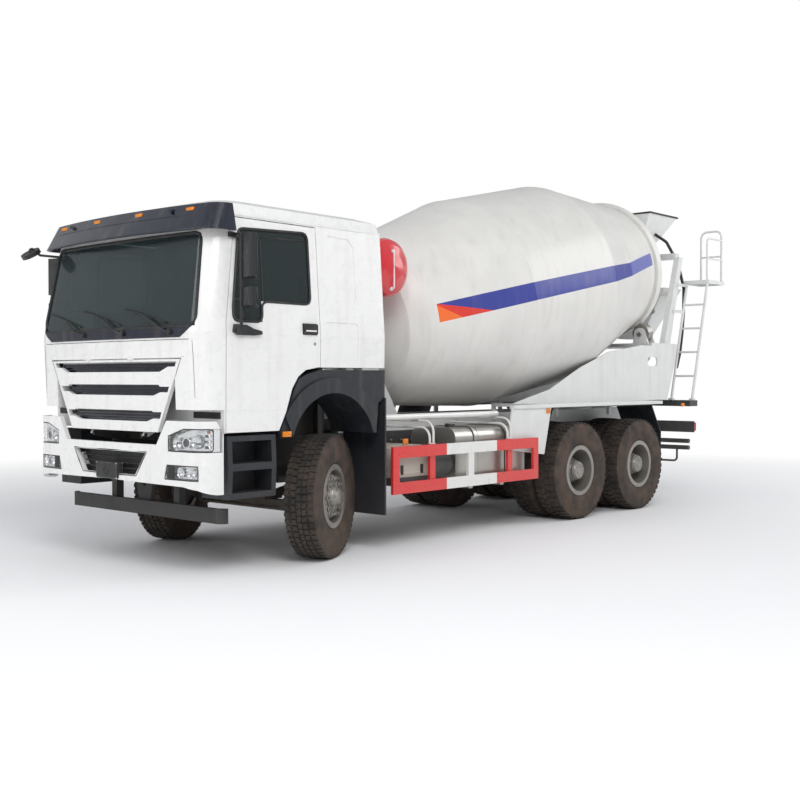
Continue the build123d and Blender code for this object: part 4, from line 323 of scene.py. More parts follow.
@dataclass(frozen=True)
class Finish:
    """A surface finish. It becomes one material.

    Attributes:
        name: the material's name.
        colour: its base colour.
        roughness: how matt it is.
        metallic: how metallic it is.
        coat: its clear coat's weight.
        grain: its grain's scale.
        bump: its bump's strength.
        shade: how much slow patches darken it.
        dust: how much dust lies on it.
        dust_top: the height at which the dust thins out.
        streaks: how strong the rain streaks are.
        dust_colour: the dust's colour.
    """

    name: str
    colour: Colour
    roughness: float = 0.4
    metallic: float = 0.0
    coat: float = 0.0
    grain: float = 300.0
    bump: float = 0.05
    shade: float = 0.06
    dust: float = 0.4
    dust_top: float = 1.3
    streaks: float = 0.12
    dust_colour: Colour = (0.30, 0.25, 0.20)

    def base(self, net: Net) -> object:
        """The colour before dust. Finishes with a pattern replace this.

        Args:
            net: the material's nodes.

        Returns:
            A colour or a colour socket.
        """
        return self.colour

    def height(self, net: Net, grain: bpy.types.NodeSocket) -> bpy.types.NodeSocket:
        """The bump's height. Finishes with a relief replace this.

        Args:
            net: the material's nodes.
            grain: the grain's height.

        Returns:
            The height's socket.
        """
        return grain

    def finish_off(self, net: Net, shader: bpy.types.Node) -> None:
        """Sets what is special about a finish. The plain one has nothing.

        Args:
            net: the material's nodes.
            shader: the material's main shader.
        """

    def build(self) -> bpy.types.Material:
        """Builds the material.

        Returns:
            The material, made once for each name.
        """
        if self.name in bpy.data.materials:
            return bpy.data.materials[self.name]
        material = bpy.data.materials.new(self.name)
        material.use_nodes = True
        net = Net(material.node_tree)
        shader = net.tree.nodes["Principled BSDF"]
        grain = net.effect(grain_effect(), Scale=self.grain)
        shade = net.ramp(grain["Patches"], 0.0, 1.0, 1.0 - self.shade, 1.0)
        colour = net.blend(1.0, self.base(net), net.node("ShaderNodeCombineColor",
                                                         {0: shade, 1: shade, 2: shade}).outputs[0], "MULTIPLY")
        dirt = net.effect(dust_effect(), Amount=self.dust, Top=self.dust_top)["Mask"]
        runs = net.effect(streak_effect(), Amount=self.streaks)["Mask"]
        layer = net.maths("MAXIMUM", dirt, runs)
        net.put(shader.inputs["Base Color"], net.blend(layer, colour, self.dust_colour))
        gloss = net.ramp(grain["Patches"], 0.0, 1.0, self.roughness * 0.85, self.roughness * 1.2)
        net.put(shader.inputs["Roughness"], net.maths("MAXIMUM", gloss, net.maths("MULTIPLY", layer, 0.85)))
        shader.inputs["Metallic"].default_value = self.metallic
        shader.inputs["Coat Weight"].default_value = self.coat
        shader.inputs["Coat Roughness"].default_value = 0.08
        bump = net.node("ShaderNodeBump", {"Strength": self.bump, "Distance": 0.002,
                                           "Height": self.height(net, grain["Height"])})
        net.put(shader.inputs["Normal"], bump.outputs[0])
        self.finish_off(net, shader)
        return material


@dataclass(frozen=True)
class BandedFinish(Finish):
    """A finish with a second colour between two places along the truck, and above a height.

    Attributes:
        second: the other colour.
        band_rear: where the band ends to the rear.
        band_front: where it ends to the front.
        top: the height above which all is the second colour.
    """

    second: Colour = (0.8, 0.8, 0.78)
    band_rear: float = 0.0
    band_front: float = 1.0
    top: float = 9.0

    def base(self, net: Net) -> object:
        """The two colours, parted at the band's ends and at the height.

        Args:
            net: the material's nodes.

        Returns:
            A colour or a colour socket.
        """
        along, _, height = net.axes()
        inside = net.between(along, self.band_rear, self.band_front)
        inside = net.maths("MAXIMUM", inside, net.maths("GREATER_THAN", height, self.top))
        return net.blend(inside, self.colour, self.second)


@dataclass(frozen=True)
class DrumFinish(Finish):
    """The drum's paint: white with a tapering blue band, its front tip in red and orange, and a painted
    highlight that lightens the band's rear part.

    Attributes:
        blue: the band's blue.
        pale: its paler rear part, a painted highlight on the rear cone where more light falls.
        red: its tip's red.
        orange: its tip's orange.
        start: where the drum's axis starts.
        tilt: the axis's rise to the rear.
        stations: where the band's edges bend, and its end.
    """

    blue: Colour = (0.03, 0.045, 0.30)
    pale: Colour = (0.13, 0.15, 0.46)
    # painted highlight: the lighter blue stands in for light on the rear cone
    red: Colour = (0.72, 0.035, 0.02)
    orange: Colour = (0.90, 0.16, 0.02)
    start: tuple = DRUM_START
    tilt: float = DRUM_TILT
    stations: tuple[float, float, float] = (1.4, 3.6, 4.55)

    def base(self, net: Net) -> object:
        """The band, laid out by the place along the drum's axis and the angle about it.

        Args:
            net: the material's nodes.

        Returns:
            A colour or a colour socket.
        """
        moved = net.node("ShaderNodeVectorMath", {0: net.place(), 1: self.start},
                         operation="SUBTRACT").outputs[0]
        x, y, z = net.axes(moved)
        cosine, sine = math.cos(self.tilt), math.sin(self.tilt)
        along = net.maths("SUBTRACT", net.maths("MULTIPLY", z, sine), net.maths("MULTIPLY", x, cosine))
        across = net.maths("ADD", net.maths("MULTIPLY", x, sine), net.maths("MULTIPLY", z, cosine))
        angle = net.maths("ARCTAN2", across, net.maths("ABSOLUTE", y))
        first, bend, end = self.stations
        low = net.maths("ADD", net.ramp(along, 0.0, first, -0.035, 0.0), net.ramp(along, bend, end, 0.0, 0.05))
        high = net.maths("ADD", net.ramp(along, 0.0, bend, 0.175, 0.148),
                         net.ramp(along, bend, end, 0.0, 0.079))
        on_band = net.between(angle, low, high)
        reach = net.between(along, 0.02, 4.53)
        share = net.maths("DIVIDE", net.maths("SUBTRACT", angle, low), net.maths("SUBTRACT", high, low))
        red_end = net.ramp(share, 0.0, 1.0, 0.75, 0.03)
        orange_end = net.ramp(share, 0.0, 1.0, 0.33, 0.0)
        # painted highlight: beyond station 3.62, on the rear cone, the band takes the paler blue that stands in
        # for the light falling there
        band = net.blend(net.maths("GREATER_THAN", along, 3.62), self.blue, self.pale)
        band = net.blend(net.maths("LESS_THAN", along, red_end), band, self.red)
        band = net.blend(net.maths("LESS_THAN", along, orange_end), band, self.orange)
        return net.blend(net.maths("MULTIPLY", on_band, reach), self.colour, band)


@dataclass(frozen=True)
class RubberFinish(Finish):
    """Tyre rubber with brown patches.

    Attributes:
        brown: the patches' colour.
    """

    brown: Colour = (0.095, 0.062, 0.046)

    def base(self, net: Net) -> object:
        """Brown patches over black.

        Args:
            net: the material's nodes.

        Returns:
            A colour or a colour socket.
        """
        patches = net.ramp(net.noise(7.0, 6.0), 0.32, 0.62)
        return net.blend(patches, self.colour, self.brown)


@dataclass(frozen=True)
class GlassFinish(Finish):
    """Clear or tinted glass. It lets light through.

    Attributes:
        transmission: how much light passes.
    """

    transmission: float = 0.9

    def finish_off(self, net: Net, shader: bpy.types.Node) -> None:
        """Makes the shader pass light.

        Args:
            net: the material's nodes.
            shader: the material's main shader.
        """
        shader.inputs["Transmission Weight"].default_value = self.transmission
        shader.inputs["IOR"].default_value = 1.45


@dataclass(frozen=True)
class ClothFinish(Finish):
    """Woven seat cloth."""

    def height(self, net: Net, grain: bpy.types.NodeSocket) -> bpy.types.NodeSocket:
        """Crossed threads.

        Args:
            net: the material's nodes.
            grain: the grain's height.

        Returns:
            The height's socket.
        """
        x, y, z = net.axes()
        warp = net.maths("SINE", net.maths("MULTIPLY", y, 1400.0))
        weft = net.maths("SINE", net.maths("MULTIPLY", net.maths("ADD", x, z), 1400.0))
        return net.maths("ADD", net.maths("MULTIPLY", warp, weft), grain)


class Look(Enum):
    """Every finish on the truck."""

    CAB_WHITE = Finish("cab white", (0.80, 0.80, 0.79), 0.28, coat=0.4, grain=420.0, bump=0.03, shade=0.03,
                       dust=0.05, dust_top=1.0)
    PLATE_WHITE = Finish("plate white", (0.74, 0.75, 0.74), 0.36, coat=0.2, bump=0.06, dust=0.3, dust_top=1.5)
    DRUM = DrumFinish("drum white", (0.74, 0.73, 0.70), 0.42, coat=0.08, grain=160.0, bump=0.03, shade=0.08,
                      dust=0.3, dust_top=1.6)
    FRAME = Finish("frame black", (0.03, 0.03, 0.033), 0.5, grain=240.0, bump=0.12, dust=0.45)
    SUBFRAME = Finish("sub-frame white", (0.60, 0.61, 0.61), 0.42, coat=0.15, bump=0.08, dust=0.5, dust_top=1.6)
    DARK = Finish("dark grey paint", (0.045, 0.048, 0.05), 0.5, bump=0.1, dust=0.4)
    IRON = Finish("cast iron", (0.05, 0.047, 0.043), 0.7, metallic=0.3, grain=160.0, bump=0.5, dust=0.6)
    SPRING = Finish("spring steel", (0.06, 0.058, 0.055), 0.55, metallic=0.4, grain=120.0, bump=0.25, dust=0.55)
    RIM = Finish("rim steel", (0.36, 0.345, 0.32), 0.42, metallic=0.55, grain=260.0, bump=0.12, dust=0.45,
                 shade=0.25)
    REAR_RIM = Finish("rear rim grey", (0.15, 0.145, 0.14), 0.5, metallic=0.35, grain=260.0, bump=0.15,
                      dust=0.5, shade=0.25)
    RUBBER = RubberFinish("tyre rubber", (0.03, 0.027, 0.025), 0.85, grain=520.0, bump=0.5, shade=0.3,
                          dust=0.25, dust_top=1.3, dust_colour=(0.16, 0.11, 0.075))
    TREAD = RubberFinish("tread rubber", (0.022, 0.021, 0.02), 0.9, grain=420.0, bump=0.5, shade=0.3,
                         dust=0.2, dust_top=1.3, dust_colour=(0.15, 0.12, 0.09), brown=(0.06, 0.05, 0.042))
    VISOR = Finish("visor black", (0.006, 0.009, 0.022), 0.2, coat=0.5, grain=380.0, bump=0.02, dust=0.03)
    TRIM = Finish("black trim", (0.010, 0.011, 0.013), 0.48, grain=900.0, bump=0.35, dust=0.08)
    ARCH = Finish("arch plastic", (0.014, 0.017, 0.023), 0.5, grain=800.0, bump=0.3, dust=0.12)
    GUARD = BandedFinish("guard red and white", (0.70, 0.022, 0.02), 0.3, coat=0.4, bump=0.04, dust=0.2,
                         second=(0.80, 0.80, 0.78), band_rear=0.805, band_front=1.629, top=0.984)
    TANK_RED = Finish("tank red", (0.62, 0.02, 0.03), 0.22, coat=0.6, bump=0.03, dust=0.15)
    GLASS = GlassFinish("window glass", (0.20, 0.27, 0.28), 0.03, bump=0.01, shade=0.05, dust=0.03,
                        streaks=0.0, transmission=0.9)
    SIDE_GLASS = GlassFinish("side glass", (0.10, 0.14, 0.14), 0.03, bump=0.01, shade=0.05, dust=0.03,
                             streaks=0.0, transmission=0.85)
    LENS = GlassFinish("lamp lens", (0.93, 0.94, 0.95), 0.05, grain=220.0, bump=0.1, dust=0.05, streaks=0.0,
                       transmission=0.95)
    DARK_LENS = Finish("dark lens", (0.02, 0.022, 0.028), 0.06, coat=0.8, bump=0.01, dust=0.03, streaks=0.0)
    AMBER = GlassFinish("amber lens", (0.95, 0.30, 0.02), 0.18, grain=220.0, bump=0.3, dust=0.08,
                        streaks=0.0, transmission=0.25)
    RED_LENS = GlassFinish("red lens", (0.62, 0.01, 0.01), 0.2, grain=220.0, bump=0.3, dust=0.1, streaks=0.0,
                           transmission=0.2)
    CLOTH = ClothFinish("seat cloth", (0.05, 0.055, 0.07), 0.95, grain=600.0, bump=0.5, shade=0.15,
                        dust=0.05, streaks=0.0)
    DASH = Finish("dash plastic", (0.06, 0.062, 0.065), 0.6, grain=900.0, bump=0.4, dust=0.05, streaks=0.0)
    BARE_STEEL = Finish("bare steel", (0.42, 0.40, 0.38), 0.35, metallic=0.9, grain=200.0, bump=0.15, dust=0.3)
    ALUMINIUM = Finish("dull aluminium", (0.56, 0.545, 0.51), 0.34, metallic=0.85, grain=90.0, bump=0.1,
                       dust=0.3, shade=0.2)
    CHROME = Finish("reflector chrome", (0.85, 0.86, 0.87), 0.08, metallic=1.0, bump=0.02, dust=0.0,
                    streaks=0.0)
    MIRROR = Finish("mirror glass", (0.75, 0.78, 0.8), 0.03, metallic=1.0, bump=0.005, dust=0.02, streaks=0.0)
    UNDER_RUN = Finish("under-run grey", (0.018, 0.02, 0.022), 0.55, grain=260.0, bump=0.2, dust=0.12)
    BEIGE = Finish("beige plastic", (0.52, 0.49, 0.42), 0.5, grain=500.0, bump=0.15, dust=0.4)
    RUBBER_HOSE = Finish("hose rubber", (0.02, 0.02, 0.021), 0.6, grain=500.0, bump=0.3, dust=0.25)

    def material(self) -> bpy.types.Material:
        """The finish's material.

        Returns:
            The material.
        """
        return self.value.build()


NODE_LOOKS = {node: look for look, nodes in {
    Look.CAB_WHITE: "cab_shell door_left door_right front_bumper grille_lid",
    Look.GLASS: "windscreen", Look.SIDE_GLASS: "door_glass_left door_glass_right",
    Look.LENS: "front_lamps", Look.VISOR: "sun_visor", Look.CLOTH: "seats", Look.DASH: "dashboard",
    Look.TRIM: "mirrors_left mirrors_right front_view_mirror air_intake",
    Look.ARCH: "cab_steps front_mudguards rear_wheel_covers",
    Look.DARK: "battery_box_and_air_tanks exhaust_silencer rear_plank rear_under_run chute_swivel",
    Look.ALUMINIUM: "fuel_tank", Look.GUARD: "side_guards", Look.FRAME: "chassis_frame",
    Look.SUBFRAME: "mixer_subframe", Look.SPRING: "suspension_springs",
    Look.IRON: "axle_beams engine_block drum_drive tie_rod", Look.UNDER_RUN: "front_under_run_bar",
    Look.PLATE_WHITE: "rear_stand charge_hopper discharge_funnel ladder_platform rear_mudguard_tops "
                      "discharge_chute",
    Look.DRUM: "drum_shell", Look.RED_LENS: "rear_lamps", Look.TANK_RED: "water_tank",
    Look.BARE_STEEL: "drum_roller_left drum_roller_right",
}.items() for node in nodes.split()}


def look_of(node: str) -> Look:
    """The finish of a CAD node.

    Args:
        node: the node's name.

    Returns:
        Its finish.
    """
    if node in NODE_LOOKS:
        return NODE_LOOKS[node]
    if "tyre" in node:
        return Look.RUBBER
    return Look.RIM if "wheel" in node else Look.IRON


def dress_nodes() -> None:
    """Gives every CAD node its finish."""
    for name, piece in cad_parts.items():
        piece.data.materials.clear()
        piece.data.materials.append(look_of(name).material())
    LOG.info("%d nodes dressed", len(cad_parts))


# ---- Mesh building ----


class Solid:
    """A mesh under way. Its calls add shapes in metres, in the row frame or in a place of its own."""

    def __init__(self) -> None:
        """Starts empty."""
        self.mesh = bmesh.new()

    def box(self, low: Sequence[float], high: Sequence[float], bevel: float = 0.0,
            place: Matrix | None = None) -> "Solid":
        """Adds a block with its edges eased.

        Args:
            low: one corner.
            high: the other corner.
            bevel: how much each edge is cut.
            place: where it goes.

        Returns:
            This mesh.
        """
        pairs = list(zip(low, high))
        low, high = Vector([min(pair) for pair in pairs]), Vector([max(pair) for pair in pairs])
        made = bmesh.ops.create_cube(self.mesh, size=1.0)["verts"]
        for vertex in made:
            vertex.co = Vector([low[i] + (vertex.co[i] + 0.5) * (high[i] - low[i]) for i in range(3)])
        if bevel:
            edges = list({edge for vertex in made for edge in vertex.link_edges})
            made = bmesh.ops.bevel(self.mesh, geom=edges, offset=bevel, segments=2, affect="EDGES",
                                   profile=0.5)["verts"]
            made = list({v for face in {f for v in made for f in v.link_faces} for v in face.verts})
        if place is not None:
            bmesh.ops.transform(self.mesh, matrix=place, verts=made)
        return self

    def turned(self, profile: Sequence[tuple[float, float]], place: Matrix, steps: int = 32,
               closed: bool = True) -> "Solid":
        """Adds a turned shape about the Z axis of a place.

        Args:
            profile: (height along the axis, radius) points.
            place: where its axis stands.
            steps: how many steps go round.
            closed: whether the last point joins the first.

        Returns:
            This mesh.
        """
        rings = []
        for height, radius in profile:
            if radius < 1e-6:
                rings.append([self.mesh.verts.new(place @ Vector((0.0, 0.0, height)))] * steps)
                continue
            rings.append([
                self.mesh.verts.new(place @ Vector((radius * math.cos(math.tau * i / steps),
                                                    radius * math.sin(math.tau * i / steps), height)))
                for i in range(steps)])
        pairs = list(zip(rings, rings[1:])) + ([(rings[-1], rings[0])] if closed else [])
        for first, second in pairs:
            for i in range(steps):
                corners = list(dict.fromkeys([first[i], first[(i + 1) % steps], second[(i + 1) % steps],
                                              second[i]]))
                if len(corners) > 2:
                    self.mesh.faces.new(corners)
        return self

    def sweep(self, points: Sequence[Sequence[float]], radius: float, bend: float = 0.0,
              sides: int = 12) -> "Solid":
        """Adds a round bar along straight runs with its corners rounded.

        Args:
            points: the corners.
            radius: the bar's radius.
            bend: the corners' radius.
            sides: how many faces go round.

        Returns:
            This mesh.
        """
        path = rounded_path([Vector(p) for p in points], bend)
        turns = [math.tau * i / sides for i in range(sides)]
        rings: list[list] = []
        side = None
        for index, point in enumerate(path):
            ahead = (path[min(index + 1, len(path) - 1)] - path[max(index - 1, 0)]).normalized()
            if side is None:
                side = ahead.orthogonal().normalized()
            side = (side - ahead * side.dot(ahead)).normalized()
            other = ahead.cross(side)
            rings.append([self.mesh.verts.new(point + (side * math.cos(a) + other * math.sin(a)) * radius)
                          for a in turns])
        self.skin(rings)
        self.mesh.faces.new(list(reversed(rings[0])))
        self.mesh.faces.new(rings[-1])
        return self

    def plate(self, outline: Sequence[Sequence[float]], thickness: Sequence[float]) -> "Solid":
        """Adds a flat plate.

        Args:
            outline: its corners.
            thickness: the way and length in which it thickens.

        Returns:
            This mesh.
        """
        self.thicken([self.mesh.faces.new([self.mesh.verts.new(Vector(p)) for p in outline])], thickness)
        return self

    def skin(self, rings: Sequence[Sequence], closed: bool = True) -> None:
        """Lays faces between neighbouring rows of points.

        Args:
            rings: the rows, all of one length.
            closed: whether each row's last point meets its first.
        """
        count = len(rings[0])
        for first, second in zip(rings, rings[1:]):
            for i in range(count if closed else count - 1):
                k = (i + 1) % count
                self.mesh.faces.new((first[i], first[k], second[k], second[i]))

    def thicken(self, faces: Sequence, way: Sequence[float]) -> None:
        """Gives flat faces a thickness.

        Args:
            faces: the faces.
            way: the way and length in which they thicken.
        """
        made = bmesh.ops.extrude_face_region(self.mesh, geom=list(faces))["geom"]
        raised = [v for v in made if isinstance(v, bmesh.types.BMVert)]
        bmesh.ops.translate(self.mesh, verts=raised, vec=Vector(way))

    def finish(self, name: str, look: Look, sharp: float = 35.0) -> bpy.types.Object:
        """Makes the object.

        Args:
            name: its name.
            look: its finish.
            sharp: the angle above which an edge stays sharp, in degrees.

        Returns:
            The object, at the origin, not yet on a body.
        """
        bmesh.ops.remove_doubles(self.mesh, verts=self.mesh.verts, dist=1e-6)
        bmesh.ops.recalc_face_normals(self.mesh, faces=self.mesh.faces)
        data = bpy.data.meshes.new(name)
        self.mesh.to_mesh(data)
        self.mesh.free()
        data.shade_smooth()
        data.set_sharp_from_angle(angle=math.radians(sharp))
        data.materials.append(look.material())
        made = bpy.data.objects.new(name, data)
        bpy.context.scene.collection.objects.link(made)
        return made


def rounded_corner(before: Vector, corner: Vector, after: Vector, radius: float, steps: int) -> list[Vector]:
    """Rounds one corner.

    Args:
        before: the point before it.
        corner: the corner.
        after: the point after it.
        radius: its radius.
        steps: the steps in it.

    Returns:
        The points that take the corner's place.
    """
    back, ahead = before - corner, after - corner
    half = (math.pi - back.angle(ahead)) / 2
    cut = min(radius * math.tan(half), back.length * 0.49, ahead.length * 0.49)
    start, end = corner + back.normalized() * cut, corner + ahead.normalized() * cut
    return [start * (1 - t) ** 2 + corner * 2 * t * (1 - t) + end * t * t
            for t in (i / steps for i in range(steps + 1))]


def rounded_path(points: list[Vector], bend: float, steps: int = 5) -> list[Vector]:
    """Rounds a path's corners with arcs.

    Args:
        points: the corners.
        bend: the arcs' radius.
        steps: the steps in each arc.

    Returns:
        The path's points.
    """
    if not bend:
        return points
    path = [points[0]]
    for before, corner, after in zip(points, points[1:], points[2:]):
        path += rounded_corner(before, corner, after, bend, steps)
    return path + [points[-1]]


def seat(piece: bpy.types.Object, body: str, slot: str, *replaced: str) -> bpy.types.Object:
    """Puts a piece on its body.

    Args:
        piece: the piece.
        body: the CAD body that carries it.
        slot: the record's material slot; not used.
        replaced: CAD nodes that it stands for.

    Returns:
        The piece.
    """
    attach(piece, body)
    if replaced:
        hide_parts(*replaced)
    LOG.info("%s on %s, %d faces", piece.name, body, len(piece.data.polygons))
    return piece


def frame_of(axis: Sequence[float], origin: Sequence[float]) -> Matrix:
    """A place whose Z axis lies along a direction.

    Args:
        axis: the direction.
        origin: the place's origin.

    Returns:
        The place.
    """
    turn = Vector(axis).normalized().to_track_quat("Z", "Y").to_matrix().to_4x4()
    return Matrix.Translation(Vector(origin)) @ turn


# ---- Arrays by Geometry Nodes ----


def array_tree() -> bpy.types.NodeTree:
    """Builds the tree that repeats a piece round the Z axis.

    Returns:
        The tree, made once.
    """
    name = "ring array"
    if name in bpy.data.node_groups:
        return bpy.data.node_groups[name]
    tree = bpy.data.node_groups.new(name, "GeometryNodeTree")
    for label, kind in (("Piece", "NodeSocketObject"), ("Count", "NodeSocketInt"),
                        ("Finish", "NodeSocketMaterial")):
        tree.interface.new_socket(label, in_out="INPUT", socket_type=kind)
    tree.interface.new_socket("Geometry", in_out="OUTPUT", socket_type="NodeSocketGeometry")
    net = Net(tree)
    entry, leave = tree.nodes.new("NodeGroupInput"), tree.nodes.new("NodeGroupOutput")
    index = net.node("GeometryNodeInputIndex").outputs[0]
    points = net.node("GeometryNodePoints", {"Count": entry.outputs["Count"]}).outputs[0]
    info = net.node("GeometryNodeObjectInfo", {"Object": entry.outputs["Piece"],
                                               "As Instance": True}).outputs["Geometry"]
    spread = net.node("GeometryNodeInstanceOnPoints", {"Points": points, "Instance": info})
    share = net.maths("DIVIDE", net.maths("MULTIPLY", index, math.tau), entry.outputs["Count"])
    net.put(spread.inputs["Rotation"], net.node("ShaderNodeCombineXYZ", {2: share}).outputs[0])
    real = net.node("GeometryNodeRealizeInstances", {0: spread.outputs[0]}).outputs[0]
    done = net.node("GeometryNodeSetMaterial",
                    {"Geometry": real, "Material": entry.outputs["Finish"]}).outputs[0]
    net.put(leave.inputs[0], done)
    return tree


def repeated(piece: bpy.types.Object, count: int, look: Look, place: Matrix) -> bpy.types.Object:
    """Repeats a piece round an axis with Geometry Nodes, as one plain mesh.

    Args:
        piece: what is repeated. It is removed.
        count: how many.
        look: the finish.
        place: where the result goes; its Z axis is the axis.

    Returns:
        The new object.
    """
    tree = array_tree()
    host = bpy.data.objects.new(piece.name + "_array", bpy.data.meshes.new(piece.name + "_array"))
    bpy.context.scene.collection.objects.link(host)
    modifier = host.modifiers.new("array", "NODES")
    modifier.node_group = tree
    ids = {item.name: item.identifier for item in tree.interface.items_tree if item.in_out == "INPUT"}
    modifier[ids["Piece"]] = piece
    modifier[ids["Count"]] = count
    modifier[ids["Finish"]] = look.material()
    graph = bpy.context.evaluated_depsgraph_get()
    data = bpy.data.meshes.new_from_object(host.evaluated_get(graph))
    host.modifiers.remove(modifier)
    host.data = data
    data.transform(place)
    data.shade_smooth()
    data.set_sharp_from_angle(angle=math.radians(35.0))
    bpy.data.objects.remove(piece)
    return host


def joined(name: str, pieces: Iterable[bpy.types.Object]) -> bpy.types.Object:
    """Joins pieces on one body into one object.

    Args:
        name: the joined object's name.
        pieces: the pieces, the first keeping its place.

    Returns:
        The joined object.
    """
    pieces = list(pieces)
    with bpy.context.temp_override(active_object=pieces[0], selected_editable_objects=pieces):
        bpy.ops.object.join()
    pieces[0].name = name
    return pieces[0]


# ---- Wheels ----


@dataclass
class WheelSpot:
    """Where a tyre stands.

    Attributes:
        body: the CAD body that turns with it.
        node: the tyre's CAD node.
        centre: its centre.
        out: the axle's outward direction.
        offsets: where each tyre of the body stands along the axle.
        lugs: whether it has deep drive lugs.
    """

    body: str
    node: str
    centre: Vector
    out: Vector
    offsets: tuple[float, ...]
    lugs: bool

    def place(self, offset: float = 0.0) -> Matrix:
        """The place of a ring about this axle, its Z axis outwards.

        Args:
            offset: how far outwards it stands.

        Returns:
            The place.
        """
        return frame_of(self.out, self.centre + self.out * offset)


def wheel_spots() -> list[WheelSpot]:
    """Works out where the wheels stand, the front ones turned as they are at rest.

    Returns:
        The wheels' places.
    """
    spots = []
    for side, sign in SIDES.items():
        arm = (FRONT_WHEEL_Y - KINGPIN_Y) * sign
        centre = Vector((FRONT_AXLE - arm * math.sin(STEERED), KINGPIN_Y * sign + arm * math.cos(STEERED),
                         AXLE_HEIGHT))
        out = Vector((-math.sin(STEERED) * sign, math.cos(STEERED) * sign, 0.0))
        spots.append(WheelSpot(f"front_wheel_{side}", f"front_tyre_{side}", centre, out, (0.0,), False))
        for number, back in REAR_AXLES.items():
            centre = Vector((FRONT_AXLE - back, REAR_WHEELS_Y * sign, AXLE_HEIGHT))
            spots.append(WheelSpot(f"rear_wheels_{number}_{side}", f"rear_tyres_{number}_{side}", centre,
                                   Vector((0.0, sign, 0.0)), (TWIN_SHIFT, -TWIN_SHIFT), True))
    return spots


@dataclass
class Tyres:
    """The tyres, each a carcass with ribbed side walls and a ring of tread blocks.

    Attributes:
        radius: over the tread.
        base: at the bottom of the grooves.
        bead: at the rim's seat.
        wall: half the width at the widest place.
        pitches: how many times the front and the rear tread repeat.
        lug_blocks: the drive tread's blocks, each with its corners as (across, share of a pitch), the
            radius of its foot and how much its top falls away.
        rib_blocks: the steered tread's blocks beside the middle.
        middle_block: the corners of its middle block.
    """

    radius: float = 0.5615
    base: float = 0.546
    bead: float = 0.2545
    wall: float = 0.152
    pitches: tuple[int, int] = (56, 46)
    lug_blocks: tuple = (
        (((0.072, -0.08), (0.139, 0.05), (0.139, 0.65), (0.066, 0.52)), 0.541, 0.006),
        (((0.006, -0.12), (0.058, 0.12), (0.062, 0.72), (0.012, 0.56)), 0.543, 0.0))
    rib_blocks: tuple = (
        (((0.086, 0.0), (0.138, 0.1), (0.138, 0.7), (0.082, 0.66), (0.092, 0.33)), 0.541, 0.005),
        (((0.032, 0.1), (0.074, 0.0), (0.068, 0.42), (0.076, 0.8), (0.026, 0.88)), 0.543, 0.0))
    middle_block: tuple = ((-0.021, 0.05), (0.017, -0.05), (0.024, 0.45), (0.017, 0.85), (-0.021, 0.9),
                           (-0.015, 0.45))

    def carcass(self, place: Matrix) -> bpy.types.Object:
        """Turns the carcass with its moulded rings.

        Args:
            place: where it stands.

        Returns:
            The carcass.
        """
        half = [(0.1175, self.bead), (0.1175, 0.292)]
        for step in range(1, 19):
            radius = 0.292 + (0.536 - 0.292) * step / 18
            bulge = 1.0 - ((radius - 0.414) / 0.122) ** 2
            ring = 0.0022 if step in (3, 4, 14, 15) else 0.0011 if step in (6, 11) else 0.0
            flare = 0.0105 * max(0.0, (radius - 0.45) / 0.086) ** 2
            half.append((0.1275 + (self.wall - 0.1275) * bulge + flare + ring, radius))
        half += [(0.131, 0.5435), (0.118, self.base - 0.002), (0.0, self.base)]
        profile = half + [(-height, radius) for height, radius in reversed(half[:-1])]
        return Solid().turned(profile, place, 72).finish("carcass", Look.RUBBER, 30.0)

    def block(self, solid: Solid, corners: Sequence[tuple[float, float]], low: float,
              crown: float = 0.0) -> None:
        """Adds a tread block with eased edges.

        Args:
            solid: the mesh.
            corners: its corners as (across, degrees round).
            low: its foot's radius.
            crown: how much its top falls away at the tread's edge.
        """
        middle = [sum(corner[i] for corner in corners) / len(corners) for i in (0, 1)]
        rings = []
        for radius, grow in ((low, 1.06), (self.radius - 0.003, 1.0), (self.radius, 0.9)):
            ring = []
            for across, round_about in corners:
                x = middle[0] + (across - middle[0]) * grow
                angle = math.radians(middle[1] + (round_about - middle[1]) * grow)
                r = radius - crown * (abs(x) / 0.14) ** 2 * (1.0 if radius > low else 0.0)
                ring.append(solid.mesh.verts.new((r * math.cos(angle), r * math.sin(angle), x)))
            rings.append(ring)
        solid.skin(rings)
        solid.mesh.faces.new(rings[-1])
        solid.mesh.faces.new(list(reversed(rings[0])))

    def sector(self, lugs: bool) -> bpy.types.Object:
        """Makes one repeat of the tread.

        Args:
            lugs: whether it is the drive axles' pattern.

        Returns:
            The blocks of one pitch.
        """
        solid = Solid()
        pitch = 360.0 / self.pitches[1 if lugs else 0]
        blocks = self.lug_blocks if lugs else self.rib_blocks
        for sign in (1.0, -1.0):
            shift = 0.0 if sign > 0 else pitch / 2
            for corners, low, crown in blocks:
                placed = [(sign * across, shift + share * pitch) for across, share in corners]
                self.block(solid, placed, low, crown)
        if not lugs:
            self.block(solid, [(across, share * pitch) for across, share in self.middle_block], 0.543)
        return solid.finish("tread", Look.TREAD, 25.0)

    def build(self) -> None:
        """Builds each wheel's tyre or pair of tyres."""
        for spot in wheel_spots():
            pieces = []
            for offset in spot.offsets:
                place = spot.place(offset)
                pieces.append(self.carcass(place))
                pieces.append(repeated(self.sector(spot.lugs), self.pitches[1 if spot.lugs else 0],
                                       Look.TREAD, place))
            seat(joined(spot.node + "_treaded", pieces), spot.body, "tyre_rubber", spot.node)


